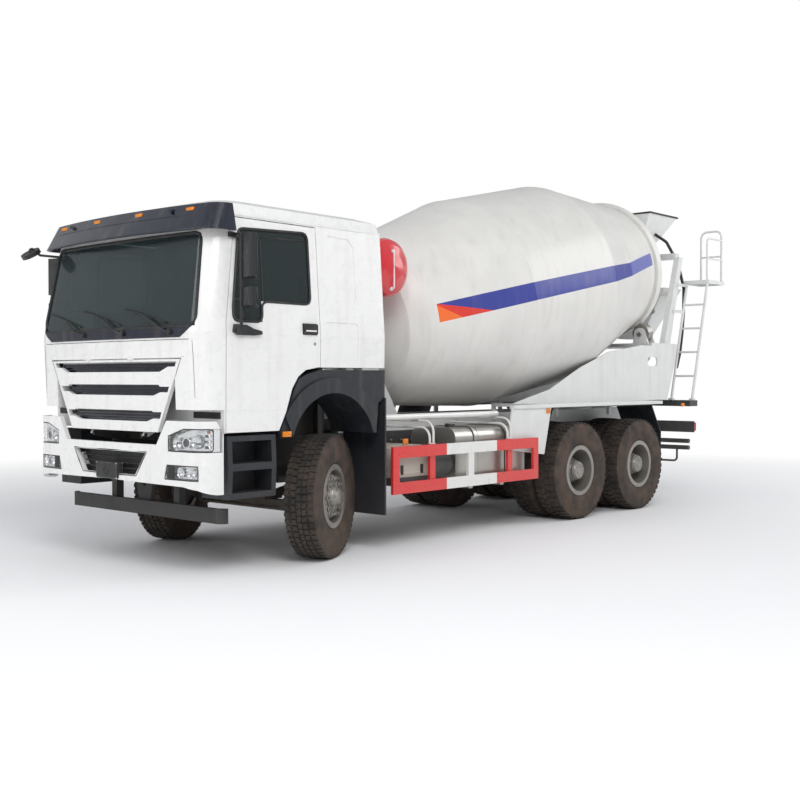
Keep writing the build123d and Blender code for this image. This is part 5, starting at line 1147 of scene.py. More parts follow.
@dataclass
class WheelFittings:
    """Nuts, studs and hub caps on the wheels.

    Attributes:
        pitch_radius: of the nuts' circle.
        nuts: how many.
        across: a nut's width over its corners.
    """

    pitch_radius: float = 0.1675
    nuts: int = 10
    across: float = 0.021

    def nut(self, base: float, stud: float) -> bpy.types.Object:
        """Makes a flanged nut on its stud, at the pitch circle.

        Args:
            base: the height of the face that it stands on.
            stud: how far the stud stands out.

        Returns:
            The nut.
        """
        spot = Matrix.Translation((self.pitch_radius, 0.0, base - 0.001))
        solid = Solid().turned([(0.0, 0.0), (0.0, 0.025), (0.005, 0.025), (0.009, 0.02), (0.009, 0.0)], spot,
                               16, False)
        solid.turned([(0.008, 0.0), (0.008, self.across), (0.026, self.across), (0.03, 0.017), (0.03, 0.0)],
                     spot, 6, False)
        solid.turned([(0.029, 0.0), (0.029, 0.0105), (stud - 0.002, 0.0105), (stud, 0.008), (stud, 0.0)],
                     spot, 12, False)
        return solid.finish("nut", Look.BARE_STEEL, 30.0)

    def bolt(self, radius: float, base: float, size: float) -> bpy.types.Object:
        """Makes a small bolt head at a radius.

        Args:
            radius: how far it stands from the axle's middle.
            base: where its foot lies along the axle.
            size: its width.

        Returns:
            The bolt's piece.
        """
        spot = Matrix.Translation((radius, 0.0, base))
        profile = [(-0.001, 0.0), (-0.001, size), (size * 0.7, size), (size * 0.8, size * 0.8),
                   (size * 0.8, 0.0)]
        return Solid().turned(profile, spot, 6, False).finish("bolt", Look.BARE_STEEL, 30.0)

    def front(self, spot: WheelSpot) -> None:
        """Fits a front wheel: nuts on long studs, a bearing cap in its collar and rings of small bolt heads.

        Args:
            spot: the wheel's place.
        """
        place = spot.place()
        cap = Solid().turned([(0.098, 0.125), (0.112, 0.125), (0.116, 0.118), (0.112, 0.112), (0.108, 0.096),
                              (0.139, 0.090), (0.144, 0.087), (0.172, 0.064), (0.180, 0.060),
                              (0.1835, 0.045), (0.1845, 0.0), (0.098, 0.0)],
                             place, 48, False).finish("cap", Look.RIM, 28.0)
        pieces = [cap, repeated(self.nut(0.100, 0.052), self.nuts, Look.BARE_STEEL, place),
                  repeated(self.bolt(0.073, 0.160, 0.0085), 6, Look.BARE_STEEL, place),
                  repeated(self.bolt(0.118, 0.115, 0.006), 12, Look.BARE_STEEL, place)]
        seat(joined(f"{spot.body}_hub_and_nuts", pieces), spot.body, "wheel_steel")

    def rear(self, spot: WheelSpot) -> None:
        """Fits a pair of drive wheels: nuts, the half shaft's flange with its bolts and the lock ring.

        Args:
            spot: the wheel's place.
        """
        place = spot.place()
        cap = Solid().turned([(0.240, 0.1085), (0.262, 0.1085), (0.266, 0.104), (0.2855, 0.099),
                              (0.291, 0.094), (0.291, 0.052), (0.286, 0.047), (0.294, 0.043),
                              (0.297, 0.0), (0.240, 0.0)], place, 48, False).finish("flange", Look.RIM, 28.0)
        band = Solid().turned([(0.018, 0.1495), (0.03, 0.1495), (0.034, 0.146), (0.13, 0.1435),
                               (0.134, 0.1485), (0.15, 0.1485), (0.154, 0.142), (0.018, 0.138)],
                              place, 48).finish("hub band", Look.REAR_RIM, 28.0)
        lock = Solid().turned([(0.291, 0.2895), (0.300, 0.2895), (0.3025, 0.284), (0.298, 0.276),
                               (0.289, 0.274)], place, 72).finish("lock ring", Look.RIM, 35.0)
        pieces = [cap, band, lock, repeated(self.nut(0.018, 0.05), self.nuts, Look.REAR_RIM, place),
                  repeated(self.bolt(0.078, 0.290, 0.010), 10, Look.BARE_STEEL, place)]
        seat(joined(f"{spot.body}_hub_and_nuts", pieces), spot.body, "wheel_steel")

    def build(self) -> None:
        """Fits every wheel."""
        for spot in wheel_spots():
            fit = self.rear if spot.lugs else self.front
            fit(spot)


# ---- Places on the CAD's skin ----


def on_skin(nodes: Sequence[str], start: Sequence[float], way: Sequence[float]) -> Vector:
    """Finds where a line first meets a CAD node.

    Args:
        nodes: the nodes' names.
        start: where the line starts.
        way: its direction.

    Returns:
        The nearest point that it meets, or its start if it meets none.
    """
    start, way = Vector(start), Vector(way).normalized()
    hits = []
    for name in nodes:
        found, point, _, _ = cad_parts[name].ray_cast(start, way)
        if found:
            hits.append(((point - start).length, point))
    return min(hits, key=lambda hit: hit[0])[1] if hits else start


def from_front(nodes: Sequence[str], y: float, z: float) -> Vector:
    """Finds what a line from ahead of the cab meets.

    Args:
        nodes: the nodes' names.
        y: the line's place across.
        z: the height.

    Returns:
        The point on them.
    """
    return on_skin(nodes, (FRONT_AXLE + AHEAD, y, z), (-1.0, 0.0, 0.0))


def from_side(nodes: Sequence[str], x: float, z: float, sign: float) -> Vector:
    """Finds what a line from beside the truck meets.

    Args:
        nodes: the nodes' names.
        x: the line's place along the truck.
        z: the height.
        sign: 1 for the left side, -1 for the right.

    Returns:
        The point on them.
    """
    return on_skin(nodes, (x, sign * BESIDE, z), (0.0, -sign, 0.0))


def filled_in(outline: Sequence[tuple[float, float]], step: float) -> list[tuple[float, float]]:
    """Puts more points on a flat line.

    Args:
        outline: its corners.
        step: the longest run between two points.

    Returns:
        Its points.
    """
    path = []
    for (u0, v0), (u1, v1) in zip(outline, outline[1:]):
        count = max(1, int(math.dist((u0, v0), (u1, v1)) / step))
        path += [(u0 + (u1 - u0) * i / count, v0 + (v1 - v0) * i / count) for i in range(count)]
    return path + [outline[-1]]


def side_line(nodes: Sequence[str], outline: Sequence[tuple[float, float]], sign: float, proud: float,
              step: float = 0.12) -> list[Vector]:
    """Lays a line of (ahead of the front axle, height) points on a side of the cab.

    Args:
        nodes: what it lies on.
        outline: its points.
        sign: 1 for the left side, -1 for the right.
        proud: how far it stands off the skin.
        step: the longest run between two points.

    Returns:
        The line's points.
    """
    return [Vector((FRONT_AXLE + x, from_side(nodes, FRONT_AXLE + x, z, sign).y + sign * proud, z))
            for x, z in filled_in(outline, step)]


def front_line(nodes: Sequence[str], outline: Sequence[tuple[float, float]], proud: float,
               step: float = 0.1) -> list[Vector]:
    """Lays a line of (across, height) points on the cab's front.

    Args:
        nodes: what it lies on.
        outline: its points.
        proud: how far it stands off the skin.
        step: the longest run between two points.

    Returns:
        The line's points.
    """
    points = [from_front(nodes, y, z) + Vector((proud, 0.0, 0.0)) for y, z in filled_in(outline, step)]
    return [point for point in points if FRONT_AXLE + 1.1 < point.x < FRONT_AXLE + 1.8]


def rounded(outline: Sequence[tuple[float, float]], radius: float, steps: int = 5) -> list[tuple[float, float]]:
    """Rounds the corners of a closed flat outline, and closes it.

    Args:
        outline: its corners.
        radius: the corners' radius.
        steps: the steps in each corner.

    Returns:
        The outline with its first point at its end again.
    """
    points = []
    count = len(outline)
    for i in range(count):
        before, corner, after = (Vector(outline[(i + k) % count]) for k in (-1, 0, 1))
        points += [(spot.x, spot.y) for spot in rounded_corner(before, corner, after, radius, steps)]
    return points + [points[0]]


# ---- Cab ----

WINDOW = [(1.138, 2.090), (1.138, 2.200), (1.043, 2.850), (0.285, 2.880), (0.285, 2.262), (0.834, 2.262),
          (0.834, 2.090)]
SCREEN = [(-1.115, 2.045), (1.115, 2.045), (1.045, 2.800), (-1.045, 2.800)]


@dataclass
class DoorTrim:
    """What each door carries: window rubber, sash rail, handle, lock, creases, mirror glass and mirror foot.

    Attributes:
        seal: the window rubber's radius.
        crease: the pressed lines in the door's skin as (height, front end, rear end).
        mirrors: the lower and upper edge of each mirror head.
        mirror_turn: how far the heads turn inwards, in degrees.
    """

    seal: float = 0.012
    crease: tuple = ((1.797, 1.217, 0.24), (1.372, 1.215, 0.60))
    mirrors: tuple = ((2.430, 2.780), (2.205, 2.350))
    mirror_turn: float = 20.0

    def window(self, side: str, sign: float) -> None:
        """Lays the rubber round the window and the rail of the sliding pane.

        Args:
            side: left or right.
            sign: 1 for the left side, -1 for the right.
        """
        edge = [(x + (0.008 if x > 0.9 else -0.008 if x < 0.5 else 0.0), z) for x, z in WINDOW]
        line = [self.at(x, z, sign, -0.002) for x, z in rounded(edge, 0.07)]
        rubber = Solid().sweep(line, self.seal, sides=8)
        for rail, radius in (([(0.815, 2.27), (0.815, 2.77), (0.785, 2.80), (0.29, 2.81)], 0.0075),
                             ([(1.125, 2.268), (0.83, 2.268)], 0.009)):
            rubber.sweep([self.at(x, z, sign, -0.009) for x, z in rail], radius, sides=8)
        seat(rubber.finish(f"window_rubber_{side}", Look.TRIM), f"door_{side}", "trim_plastic")

    @staticmethod
    def skin_y(z: float) -> float:
        """How far out the cab's side lies at a height.

        Args:
            z: the height.

        Returns:
            The distance from the truck's middle.
        """
        return 1.245 - (z - 2.0) * 0.0737 if z > 2.0 else 1.235 + (z - 1.18) * 0.0122

    def at(self, x: float, z: float, sign: float, proud: float) -> Vector:
        """Finds a point on the door's outside.

        Args:
            x: how far ahead of the front axle it lies.
            z: the height.
            sign: 1 for the left side, -1 for the right.
            proud: how far it stands off the skin.

        Returns:
            The point.
        """
        return Vector((FRONT_AXLE + x, sign * (self.skin_y(z) + proud), z))

    def handle(self, side: str, sign: float) -> None:
        """Fits the handle in its dish, and the lock.

        Args:
            side: left or right.
            sign: 1 for the left side, -1 for the right.
        """
        dish = Solid()
        x0, x1, z0, z1 = FRONT_AXLE + 0.216, FRONT_AXLE + 0.387, 1.998, 2.097
        dish.box((x0, sign * 1.236, z0), (x1, sign * 1.2515, z1), 0.006)
        dish.box((x0 + 0.006, sign * 1.240, z0 + 0.007), (x1 - 0.006, sign * 1.2655, z0 + 0.030), 0.005)
        dish.box((x0 + 0.006, sign * 1.240, z1 - 0.034), (x1 - 0.006, sign * 1.2665, z1 - 0.007), 0.006)
        dish.box((x0 + 0.006, sign * 1.240, z0 + 0.02), (x0 + 0.024, sign * 1.2655, z1 - 0.02), 0.004)
        dish.box((x1 - 0.024, sign * 1.240, z0 + 0.02), (x1 - 0.006, sign * 1.2655, z1 - 0.02), 0.004)
        dish.box((x0 + 0.02, sign * 1.245, z0 + 0.04), (x1 - 0.02, sign * 1.2648, z1 - 0.03), 0.003)
        seat(dish.finish(f"door_handle_{side}", Look.TRIM), f"door_{side}", "trim_plastic")
        y = self.skin_y(1.922)
        lock = Solid().turned([(-0.002, 0.0), (-0.002, 0.014), (0.003, 0.014), (0.005, 0.011),
                               (0.005, 0.0085), (0.003, 0.008), (0.0035, 0.0)],
                              frame_of((0, sign, 0), (FRONT_AXLE + 0.243, sign * y, 1.922)), 24, False)
        seat(lock.finish(f"door_lock_{side}", Look.BARE_STEEL), f"door_{side}", "trim_plastic")

    def creases(self, side: str, sign: float) -> None:
        """Raises the two pressed lines in the skin.

        Args:
            side: left or right.
            sign: 1 for the left side, -1 for the right.
        """
        solid = Solid()
        for height, ahead, behind in self.crease:
            y = self.skin_y(height)
            front, back = FRONT_AXLE + ahead, FRONT_AXLE + behind
            solid.plate([(back, sign * (y - 0.004), height - 0.05), (back, sign * (y + 0.0012), height),
                         (back, sign * (y - 0.004), height + 0.012)], (0.02, 0.0, 0.0))
            rings = [[solid.mesh.verts.new((x, sign * (y + rise), height + dz))
                      for rise, dz in ((-0.004, -0.06), (lift, 0.0), (-0.004, 0.012))]
                     for x, lift in ((back + 0.02, 0.0012), (front, 0.006))]
            solid.skin(rings)
            for ring in rings:
                solid.mesh.faces.new(ring)
        seat(solid.finish(f"door_creases_{side}", Look.CAB_WHITE), f"door_{side}", "painted_white")

    def mirror_parts(self, side: str, sign: float) -> None:
        """Fits the glass and rims of the mirror heads, and the foot that carries their arm.

        Args:
            side: left or right.
            sign: 1 for the left side, -1 for the right.
        """
        glass, rims = Solid(), Solid()
        tilt = math.radians(self.mirror_turn)
        for low, high in self.mirrors:
            centre = Vector((FRONT_AXLE + 1.125, sign * 1.405, (low + high) / 2))
            back = Vector((-math.cos(tilt), sign * math.sin(tilt), 0.0))
            side_way = Vector((0, 0, 1)).cross(back).normalized()
            half_w, half_h = 0.085, (high - low) / 2 - 0.02
            place = Matrix(((side_way.x, 0.0, back.x, centre.x + back.x * 0.0345),
                            (side_way.y, 0.0, back.y, centre.y + back.y * 0.0345),
                            (0.0, 1.0, 0.0, centre.z), (0, 0, 0, 1)))
            glass.box((-half_w, -half_h, -0.001), (half_w, half_h, 0.003), 0.0015, place)
            wide, tall = half_w + 0.006, half_h + 0.008
            outline = rounded([(-wide, -tall), (wide, -tall), (wide, tall), (-wide, tall)], 0.025)
            rims.sweep([place @ Vector((u, v, 0.001)) for u, v in outline], 0.005, sides=6)
            rims.box((FRONT_AXLE + 1.06, sign * 1.36, low - 0.012),
                     (FRONT_AXLE + 1.11, sign * 1.45, low + 0.004), 0.005)
        seat(glass.finish(f"mirror_glass_{side}", Look.MIRROR), f"door_{side}", "window_glass")
        foot = [(1.085, 2.060), (1.150, 2.062), (1.165, 2.000), (1.120, 1.975), (0.940, 1.975),
                (0.866, 1.985), (0.868, 2.012), (0.960, 2.030), (1.03, 2.058)]
        head = [(1.02, 2.76), (1.16, 2.77), (1.16, 2.81), (1.02, 2.80)]
        for outline, level, depth in ((foot, 2.02, 0.034), (head, 2.72, 0.03)):
            y = sign * (self.skin_y(level) - 0.004)
            rims.plate([(FRONT_AXLE + x, y, z) for x, z in outline], (0.0, sign * depth, 0.0))
        seat(rims.finish(f"mirror_rims_{side}", Look.TRIM), f"door_{side}", "trim_plastic")

    def build(self) -> None:
        """Trims both doors."""
        for side, sign in SIDES.items():
            for step in (self.window, self.handle, self.creases, self.mirror_parts):
                step(side, sign)


@dataclass
class CabTrim:
    """What the cab's shell carries: screen rubber, wipers, gutters, seams, roof pieces, visor lines.

    Attributes:
        pivots: where the wipers' pivots stand across the cab.
        markers: where the lamps on the visor stand across the cab.
        seams: the front panel's joints on one side, each with its points as (across, height), how far it
            stands proud, its radius and the longest run between two of its points.
    """

    pivots: tuple[float, ...] = (-0.38, 0.22, 0.84)
    markers: tuple[float, ...] = (-0.93, -0.31, 0.31, 0.93)
    seams: tuple = ((((0.963, 1.782), (0.80, 1.46), (0.642, 1.165)), -0.012, 0.011, 0.05),
                    (((1.09, 2.03), (1.10, 1.80), (1.105, 1.36)), -0.0015, 0.003, 0.1),
                    (((0.98, 1.80), (1.14, 1.80)), -0.0015, 0.003, 0.1))

    def screen(self) -> None:
        """Lays the black rubber round the screen and the dark panel below it."""
        skin = ["cab_shell", "windscreen"]
        edge = [(y + (0.004 if y > 0 else -0.004), z + (0.004 if z > 2.5 else -0.004)) for y, z in SCREEN]
        line = [from_front(skin, y, z) for y, z in rounded(edge, 0.09)]
        reach = [max(line[(i + k) % len(line)].x for k in (-1, 0, 1)) for i in range(len(line))]
        line = [Vector((x, p.y, p.z)) for x, p in zip(reach, line)]
        dense = []
        for a, b in zip(line, line[1:]):
            count = max(1, int((b - a).length / 0.08))
            for i in range(count):
                spot = a.lerp(b, i / count)
                near = max(from_front(skin, spot.y, spot.z + rise).x - lift
                           for rise, lift in ((0.0, 0.0), (-0.012, 0.004), (0.012, 0.004)))
                dense.append(Vector((near, spot.y, spot.z)))
        dense.append(dense[0])
        rubber = Solid().sweep(dense, 0.014, sides=8)
        seat(rubber.finish("screen_rubber", Look.TRIM), "cab", "trim_plastic")
        panel = Solid()
        rows = []
        for z, half in ((2.052, 1.10), (2.00, 1.03), (1.955, 0.955)):
            seen = min(z, 2.035)
            places = [-half + 2 * half * i / 24 for i in range(25)]
            rows.append([panel.mesh.verts.new(from_front(["cab_shell"], y, seen) + Vector((0.004, 0, z - seen)))
                         for y in places])
        panel.skin(rows, closed=False)
        panel.thicken(panel.mesh.faces, (-0.008, 0, 0))
        seat(panel.finish("screen_lower_panel", Look.VISOR), "cab", "visor_black")

    def wipers(self) -> None:
        """Fits three wipers, parked along the screen's foot."""
        solid = Solid()
        for pivot in self.pivots:
            root = from_front(["cab_shell"], pivot, 2.0)
            solid.turned([(0.0, 0.0), (0.0, 0.024), (0.022, 0.024), (0.03, 0.016), (0.034, 0.0)],
                         frame_of((1, 0, 0.15), root), 20, False)
            tip_y = pivot - 0.36
            tip = from_front(["windscreen", "cab_shell"], tip_y, 2.155) + Vector((0.028, 0, 0))
            solid.sweep([root + Vector((0.026, 0, 0)), root + Vector((0.032, -0.1, 0.035)), tip],
                        0.008, 0.03, 8)
            blade = [from_front(["windscreen"], tip_y + shift, 2.155 + rise) + Vector((0.013, 0, 0))
                     for shift, rise in ((0.30, -0.078), (0.15, -0.04), (0.0, 0.0), (-0.15, 0.035),
                                         (-0.30, 0.062))]
            solid.sweep(blade, 0.007, sides=6)
            solid.sweep([p + Vector((0.009, 0, 0.0)) for p in blade[1:4]], 0.006, sides=6)
        seat(solid.finish("wipers", Look.TRIM), "cab", "trim_plastic")

    def gutters(self) -> None:
        """Runs the roof gutter along both sides, and a bead up each rear corner."""
        white, black = Solid(), Solid()
        for sign in SIDES.values():
            line = side_line(["cab_shell", f"door_{'left' if sign > 0 else 'right'}"],
                             [(-0.66, 2.962), (1.10, 2.962)], sign, 0.002, 0.3)
            white.sweep(line, 0.011, sides=8)
            black.sweep([p - Vector((0, sign * 0.004, 0.012)) for p in line], 0.004, sides=6)
            white.sweep(side_line(["cab_shell"], [(-0.645, 1.745), (-0.645, 2.93)], sign, -0.004, 0.3),
                        0.007, sides=6)
        seat(white.finish("roof_gutters", Look.CAB_WHITE), "cab", "painted_white")
        seat(black.finish("gutter_seams", Look.TRIM), "cab", "trim_plastic")

    def front_seams(self) -> None:
        """Lays the dark joints of the front panel, and the dark bands above the headlamps."""
        solid = Solid()
        solid.sweep(front_line(["cab_shell"], [(-1.06, 1.938), (1.06, 1.938)], -0.001), 0.003, sides=6)
        for sign in SIDES.values():
            for outline, proud, radius, step in self.seams:
                line = front_line(["cab_shell"], [(sign * y, z) for y, z in outline], proud, step)
                solid.sweep(line, radius, sides=6)
            rows = [[from_front(["cab_shell"], sign * (0.84 + 0.05 * i), z) for i in range(8)]
                    for z in (1.296, 1.350)]
            for i in range(7):
                corners = (rows[0][i], rows[0][i + 1], rows[1][i + 1], rows[1][i])
                if all(FRONT_AXLE + 1.0 < corner.x < FRONT_AXLE + 1.8 for corner in corners):
                    solid.plate(corners, (0.0025, 0.0, 0.0))
        seat(solid.finish("front_seams", Look.TRIM), "cab", "trim_plastic")

    def roof(self) -> None:
        """Fits the roof's hatch and ribs, and the marker lamps on the visor."""
        solid, lamps = Solid(), Solid()
        solid.box((FRONT_AXLE - 0.15, -0.34, 3.085), (FRONT_AXLE + 0.5, 0.34, 3.1115), 0.012)
        for y in (-0.62, 0.62):
            solid.box((FRONT_AXLE - 0.5, y - 0.03, 3.09), (FRONT_AXLE + 0.85, y + 0.03, 3.1115), 0.01)
        seat(solid.finish("roof_hatch_and_ribs", Look.CAB_WHITE), "cab", "painted_white")
        for y in self.markers:
            point = from_front(["sun_visor"], y, 3.0)
            lamps.box((point.x - 0.02, y - 0.045, 2.983), (point.x + 0.012, y + 0.045, 3.012), 0.006)
        seat(lamps.finish("visor_marker_lamps", Look.AMBER), "cab", "lamp_lens")

    def visor_lines(self) -> None:
        """Lays the visor's crease and lower lip."""
        solid = Solid()
        for z, proud, radius in ((2.945, -0.001, 0.005), (2.822, -0.003, 0.007)):
            solid.sweep([from_front(["sun_visor"], -1.17 + 2.34 * i / 24, z) + Vector((proud, 0, 0))
                         for i in range(25)], radius, sides=6)
        seat(solid.finish("visor_lines", Look.VISOR), "cab", "visor_black")

    def build(self) -> None:
        """Trims the cab."""
        for step in (self.screen, self.wipers, self.gutters, self.front_seams, self.roof, self.visor_lines):
            step()


@dataclass
class LidBacking:
    """The dark navy backing behind the lid's slots, with its ribs.

    Attributes:
        back: how far ahead of the front axle the plate stands.
        slots: each slot's top, foot and half width.
    """

    back: float = 1.394
    slots: tuple = ((1.755, 1.69, 0.84), (1.56, 1.49, 0.72), (1.35, 1.275, 0.61))

    def build(self) -> None:
        """Builds the backing plate and the slats in front of it."""
        solid = Solid()
        x = FRONT_AXLE + self.back
        corners = [(x, -0.872, 1.752), (x, -0.62, 1.215), (x, 0.62, 1.215), (x, 0.872, 1.752)]
        solid.plate(corners, (0.006, 0.0, 0.0))
        for sign in SIDES.values():
            solid.box((FRONT_AXLE + 1.404, sign * 0.868, 1.70), (FRONT_AXLE + 1.408, sign * 0.925, 1.762))
        for top, low, reach in self.slots:
            for i in range(3):
                z = low + (top - low) * (i + 0.5) / 3
                solid.sweep([(FRONT_AXLE + 1.412, -reach, z), (FRONT_AXLE + 1.425, 0.0, z),
                             (FRONT_AXLE + 1.412, reach, z)], 0.005, sides=6)
        seat(solid.finish("lid_backing", Look.VISOR), "front_lid", "trim_plastic")


@dataclass
class FrontLamps:
    """Insides of the headlamps and fog lamps behind their lenses, with black surrounds.

    Attributes:
        head: the headlamp's outline as (across, height).
        fog: the fog lamp's outline.
        bowls: each reflector bowl's place across, height, radius, depth and distance behind the lens.
    """

    head: tuple = ((0.822, 1.036), (1.228, 1.036), (1.228, 1.216), (1.010, 1.216), (0.822, 1.156))
    fog: tuple = ((0.772, 0.806), (1.150, 0.806), (1.150, 0.919), (0.806, 0.919))
    bowls: tuple = ((0.905, 1.095, 0.046, 0.03, 0.034), (1.12, 1.115, 0.052, 0.03, 0.034),
                    (0.945, 0.862, 0.040, 0.022, 0.036), (1.075, 0.862, 0.036, 0.022, 0.036))

    def tray(self, outline: Sequence[tuple[float, float]], sign: float, depth: float) -> Solid:
        """Makes a reflector tray that follows the lens at a depth.

        Args:
            outline: the lens's outline as (across, height).
            sign: 1 for the left side, -1 for the right.
            depth: how far behind the lens it lies.

        Returns:
            The tray's mesh.
        """
        solid = Solid()
        low, high = min(z for _, z in outline), max(z for _, z in outline)
        inner, outer = min(y for y, _ in outline), max(y for y, _ in outline)
        rows = []
        for k in range(5):
            z = low + (high - low) * k / 4
            row = []
            for i in range(13):
                start = inner
                if z > outline[-1][1] and outline[0][0] == outline[-1][0]:
                    (y0, z0), (y1, z1) = outline[-1], outline[-2]
                    start = y0 + (y1 - y0) * (z - z0) / (z1 - z0)
                y = start + (outer - start) * i / 12
                hit = from_front(["front_lamps"], sign * y, z)
                row.append(solid.mesh.verts.new((min(hit.x, FRONT_AXLE + 1.5) - depth, sign * y, z)))
            rows.append(row)
        solid.skin(rows, closed=False)
        solid.thicken(solid.mesh.faces, (-0.004, 0, 0))
        return solid

    def bowl(self, solid: Solid, y: float, z: float, radius: float, depth: float, sign: float,
             back: float) -> None:
        """Adds a reflector bowl that faces ahead.

        Args:
            solid: the mesh it joins.
            y: its place across.
            z: the height.
            radius: its radius.
            depth: how far behind the lens it lies.
            sign: 1 for the left side, -1 for the right.
            back: how far behind the lens it stands.
        """
        hit = from_front(["front_lamps"], sign * y, z)
        place = frame_of((1, sign * 0.12, 0), (hit.x - back, sign * y, z))
        profile = [(0.0, radius), (-depth * 0.35, radius * 0.86), (-depth * 0.75, radius * 0.55),
                   (-depth, radius * 0.2), (-depth, 0.0)]
        outer = [(-depth - 0.003, 0.0), (-depth - 0.003, radius * 0.3), (-depth * 0.5, radius * 0.84),
                 (-0.004, radius + 0.003), (0.0, radius + 0.003)]
        solid.turned(profile + outer, place, 32)

    def build(self) -> None:
        """Builds the lamps' insides on both sides."""
        chrome, dark, trim, amber = Solid(), Solid(), Solid(), Solid()
        pieces = []
        for sign in SIDES.values():
            for outline, depth in ((self.head, 0.062), (self.fog, 0.056)):
                pieces.append(self.tray(outline, sign, depth).finish("tray", Look.CHROME))
            for y, z, radius, depth, back in self.bowls:
                self.bowl(chrome, y, z, radius, depth, sign, back)
            hit = from_front(["front_lamps"], sign * 1.012, 1.105)
            place = frame_of((1, sign * 0.1, 0), (hit.x - 0.046, sign * 1.012, 1.105))
            chrome.turned([(0.0, 0.042), (0.006, 0.046), (0.010, 0.044), (0.010, 0.036), (0.0, 0.034)],
                          place, 32)
            dark.turned([(-0.004, 0.0), (-0.004, 0.035), (0.002, 0.034), (0.010, 0.026),
                         (0.0135, 0.014), (0.0145, 0.0)], place, 28, False)
            for y in (0.905, 1.12):
                hit = from_front(["front_lamps"], sign * y, 1.10)
                dark.turned([(-0.026, 0.0), (-0.026, 0.008), (-0.004, 0.009), (0.002, 0.006), (0.003, 0.0)],
                            frame_of((1, 0, 0), (hit.x - 0.036, sign * y, 1.10)), 14, False)
            for k in range(3):
                z = 1.062 + 0.044 * k
                hit = from_front(["front_lamps"], sign * 1.175, z)
                chrome.box((hit.x - 0.062, sign * 1.155, z), (hit.x - 0.044, sign * 1.222, z + 0.022), 0.004)
            hit = from_front(["front_lamps"], sign * 1.19, 1.19)
            amber.box((hit.x - 0.055, sign * 1.12, 1.184), (hit.x - 0.046, sign * 1.20, 1.206), 0.003)
            for outline in (self.head, self.fog):
                ring = [(sign * y, z) for y, z in outline]
                line = front_line(["front_lamps"], rounded(ring, 0.02, 3), -0.002, 0.04)
                trim.sweep([p for p in line if p.x < FRONT_AXLE + 1.9], 0.0045, sides=6)
            for k in range(4):
                z = 0.822 + 0.028 * k
                start = from_front(["front_lamps"], sign * 0.86, z)
                trim.box((start.x - 0.004, sign * 0.80, z), (start.x + 0.004, sign * 0.885, z + 0.013), 0.003)
            back = from_front(["front_lamps"], sign * 0.85, 0.86)
            trim.box((back.x - 0.003, sign * 0.792, 0.812), (back.x + 0.0015, sign * 0.893, 0.914), 0.001)
        pieces.append(chrome.finish("bowls", Look.CHROME))
        seat(joined("lamp_reflectors", pieces), "chassis", "lamp_lens")
        seat(dark.finish("lamp_projectors", Look.DARK_LENS), "chassis", "lamp_lens")
        seat(trim.finish("lamp_surrounds", Look.TRIM), "chassis", "trim_plastic")
        seat(amber.finish("front_indicators", Look.AMBER), "chassis", "lamp_lens")


@dataclass
class BumperTrim:
    """The dark liner of the air opening, the tow block's cover and the marker lamps.

    Attributes:
        opening: the air opening's corners as (across, height).
    """

    opening: tuple = ((-0.385, 0.815), (0.385, 0.815), (0.53, 1.01), (-0.53, 1.01))

    def build(self) -> None:
        """Fits the bumper's small pieces."""
        liner = Solid()
        x = FRONT_AXLE + 1.40
        liner.plate([(x, -0.40, 0.80), (x, 0.40, 0.80), (x, 0.56, 1.03), (x, -0.56, 1.03)], (-0.006, 0, 0))
        for z in (0.86, 0.905, 0.95):
            half = 0.40 + (z - 0.80) * 0.7
            liner.sweep([(x + 0.02, -half, z), (x + 0.045, 0.0, z), (x + 0.02, half, z)], 0.006, sides=6)
        back = Vector((-0.004, 0, 0))
        for a, b in zip(self.opening, self.opening[1:] + self.opening[:1]):
            first, last = (from_front(["front_bumper"], y + (0.012 if y > 0 else -0.012),
                                      z + (0.006 if z > 0.9 else -0.006)) for y, z in (a, b))
            bulge = Vector((0.0 if abs(a[1] - b[1]) > 0.1 else 0.006, 0, 0))
            liner.sweep([first + back, first.lerp(last, 0.5) + bulge, last + back], 0.006, sides=6)
        seat(liner.finish("bumper_liner", Look.TRIM), "chassis", "trim_plastic")
        block = Solid()
        block.box((FRONT_AXLE + 1.458, -0.154, 0.768), (FRONT_AXLE + 1.532, 0.154, 0.909), 0.014)
        block.turned([(0.0, 0.0), (0.0, 0.04), (0.008, 0.036), (0.008, 0.026), (0.002, 0.022), (0.004, 0.0)],
                     frame_of((1, 0, 0), (FRONT_AXLE + 1.531, 0.0, 0.838)), 28, False)
        seat(block.finish("tow_block_cover", Look.UNDER_RUN), "chassis", "dark_steel")
        amber = Solid()
        for sign in SIDES.values():
            for low, high, ease in (((0.533, 1.2435, 1.128), (0.628, 1.262, 1.176), 0.006),
                                    ((-1.075, 1.150, 0.985), (-1.005, 1.164, 1.045), 0.004)):
                amber.box((FRONT_AXLE + low[0], sign * low[1], low[2]),
                          (FRONT_AXLE + high[0], sign * high[1], high[2]), ease)
            for ahead in (0.63, -2.62):
                rear = FRONT_AXLE - REAR_AXLES["1"] + ahead
                amber.box((rear, sign * 1.158, 1.252), (rear + 0.075, sign * 1.176, 1.298), 0.005)
        seat(amber.finish("side_marker_lamps", Look.AMBER), "chassis", "lamp_lens")


# ---- Inside the cab ----


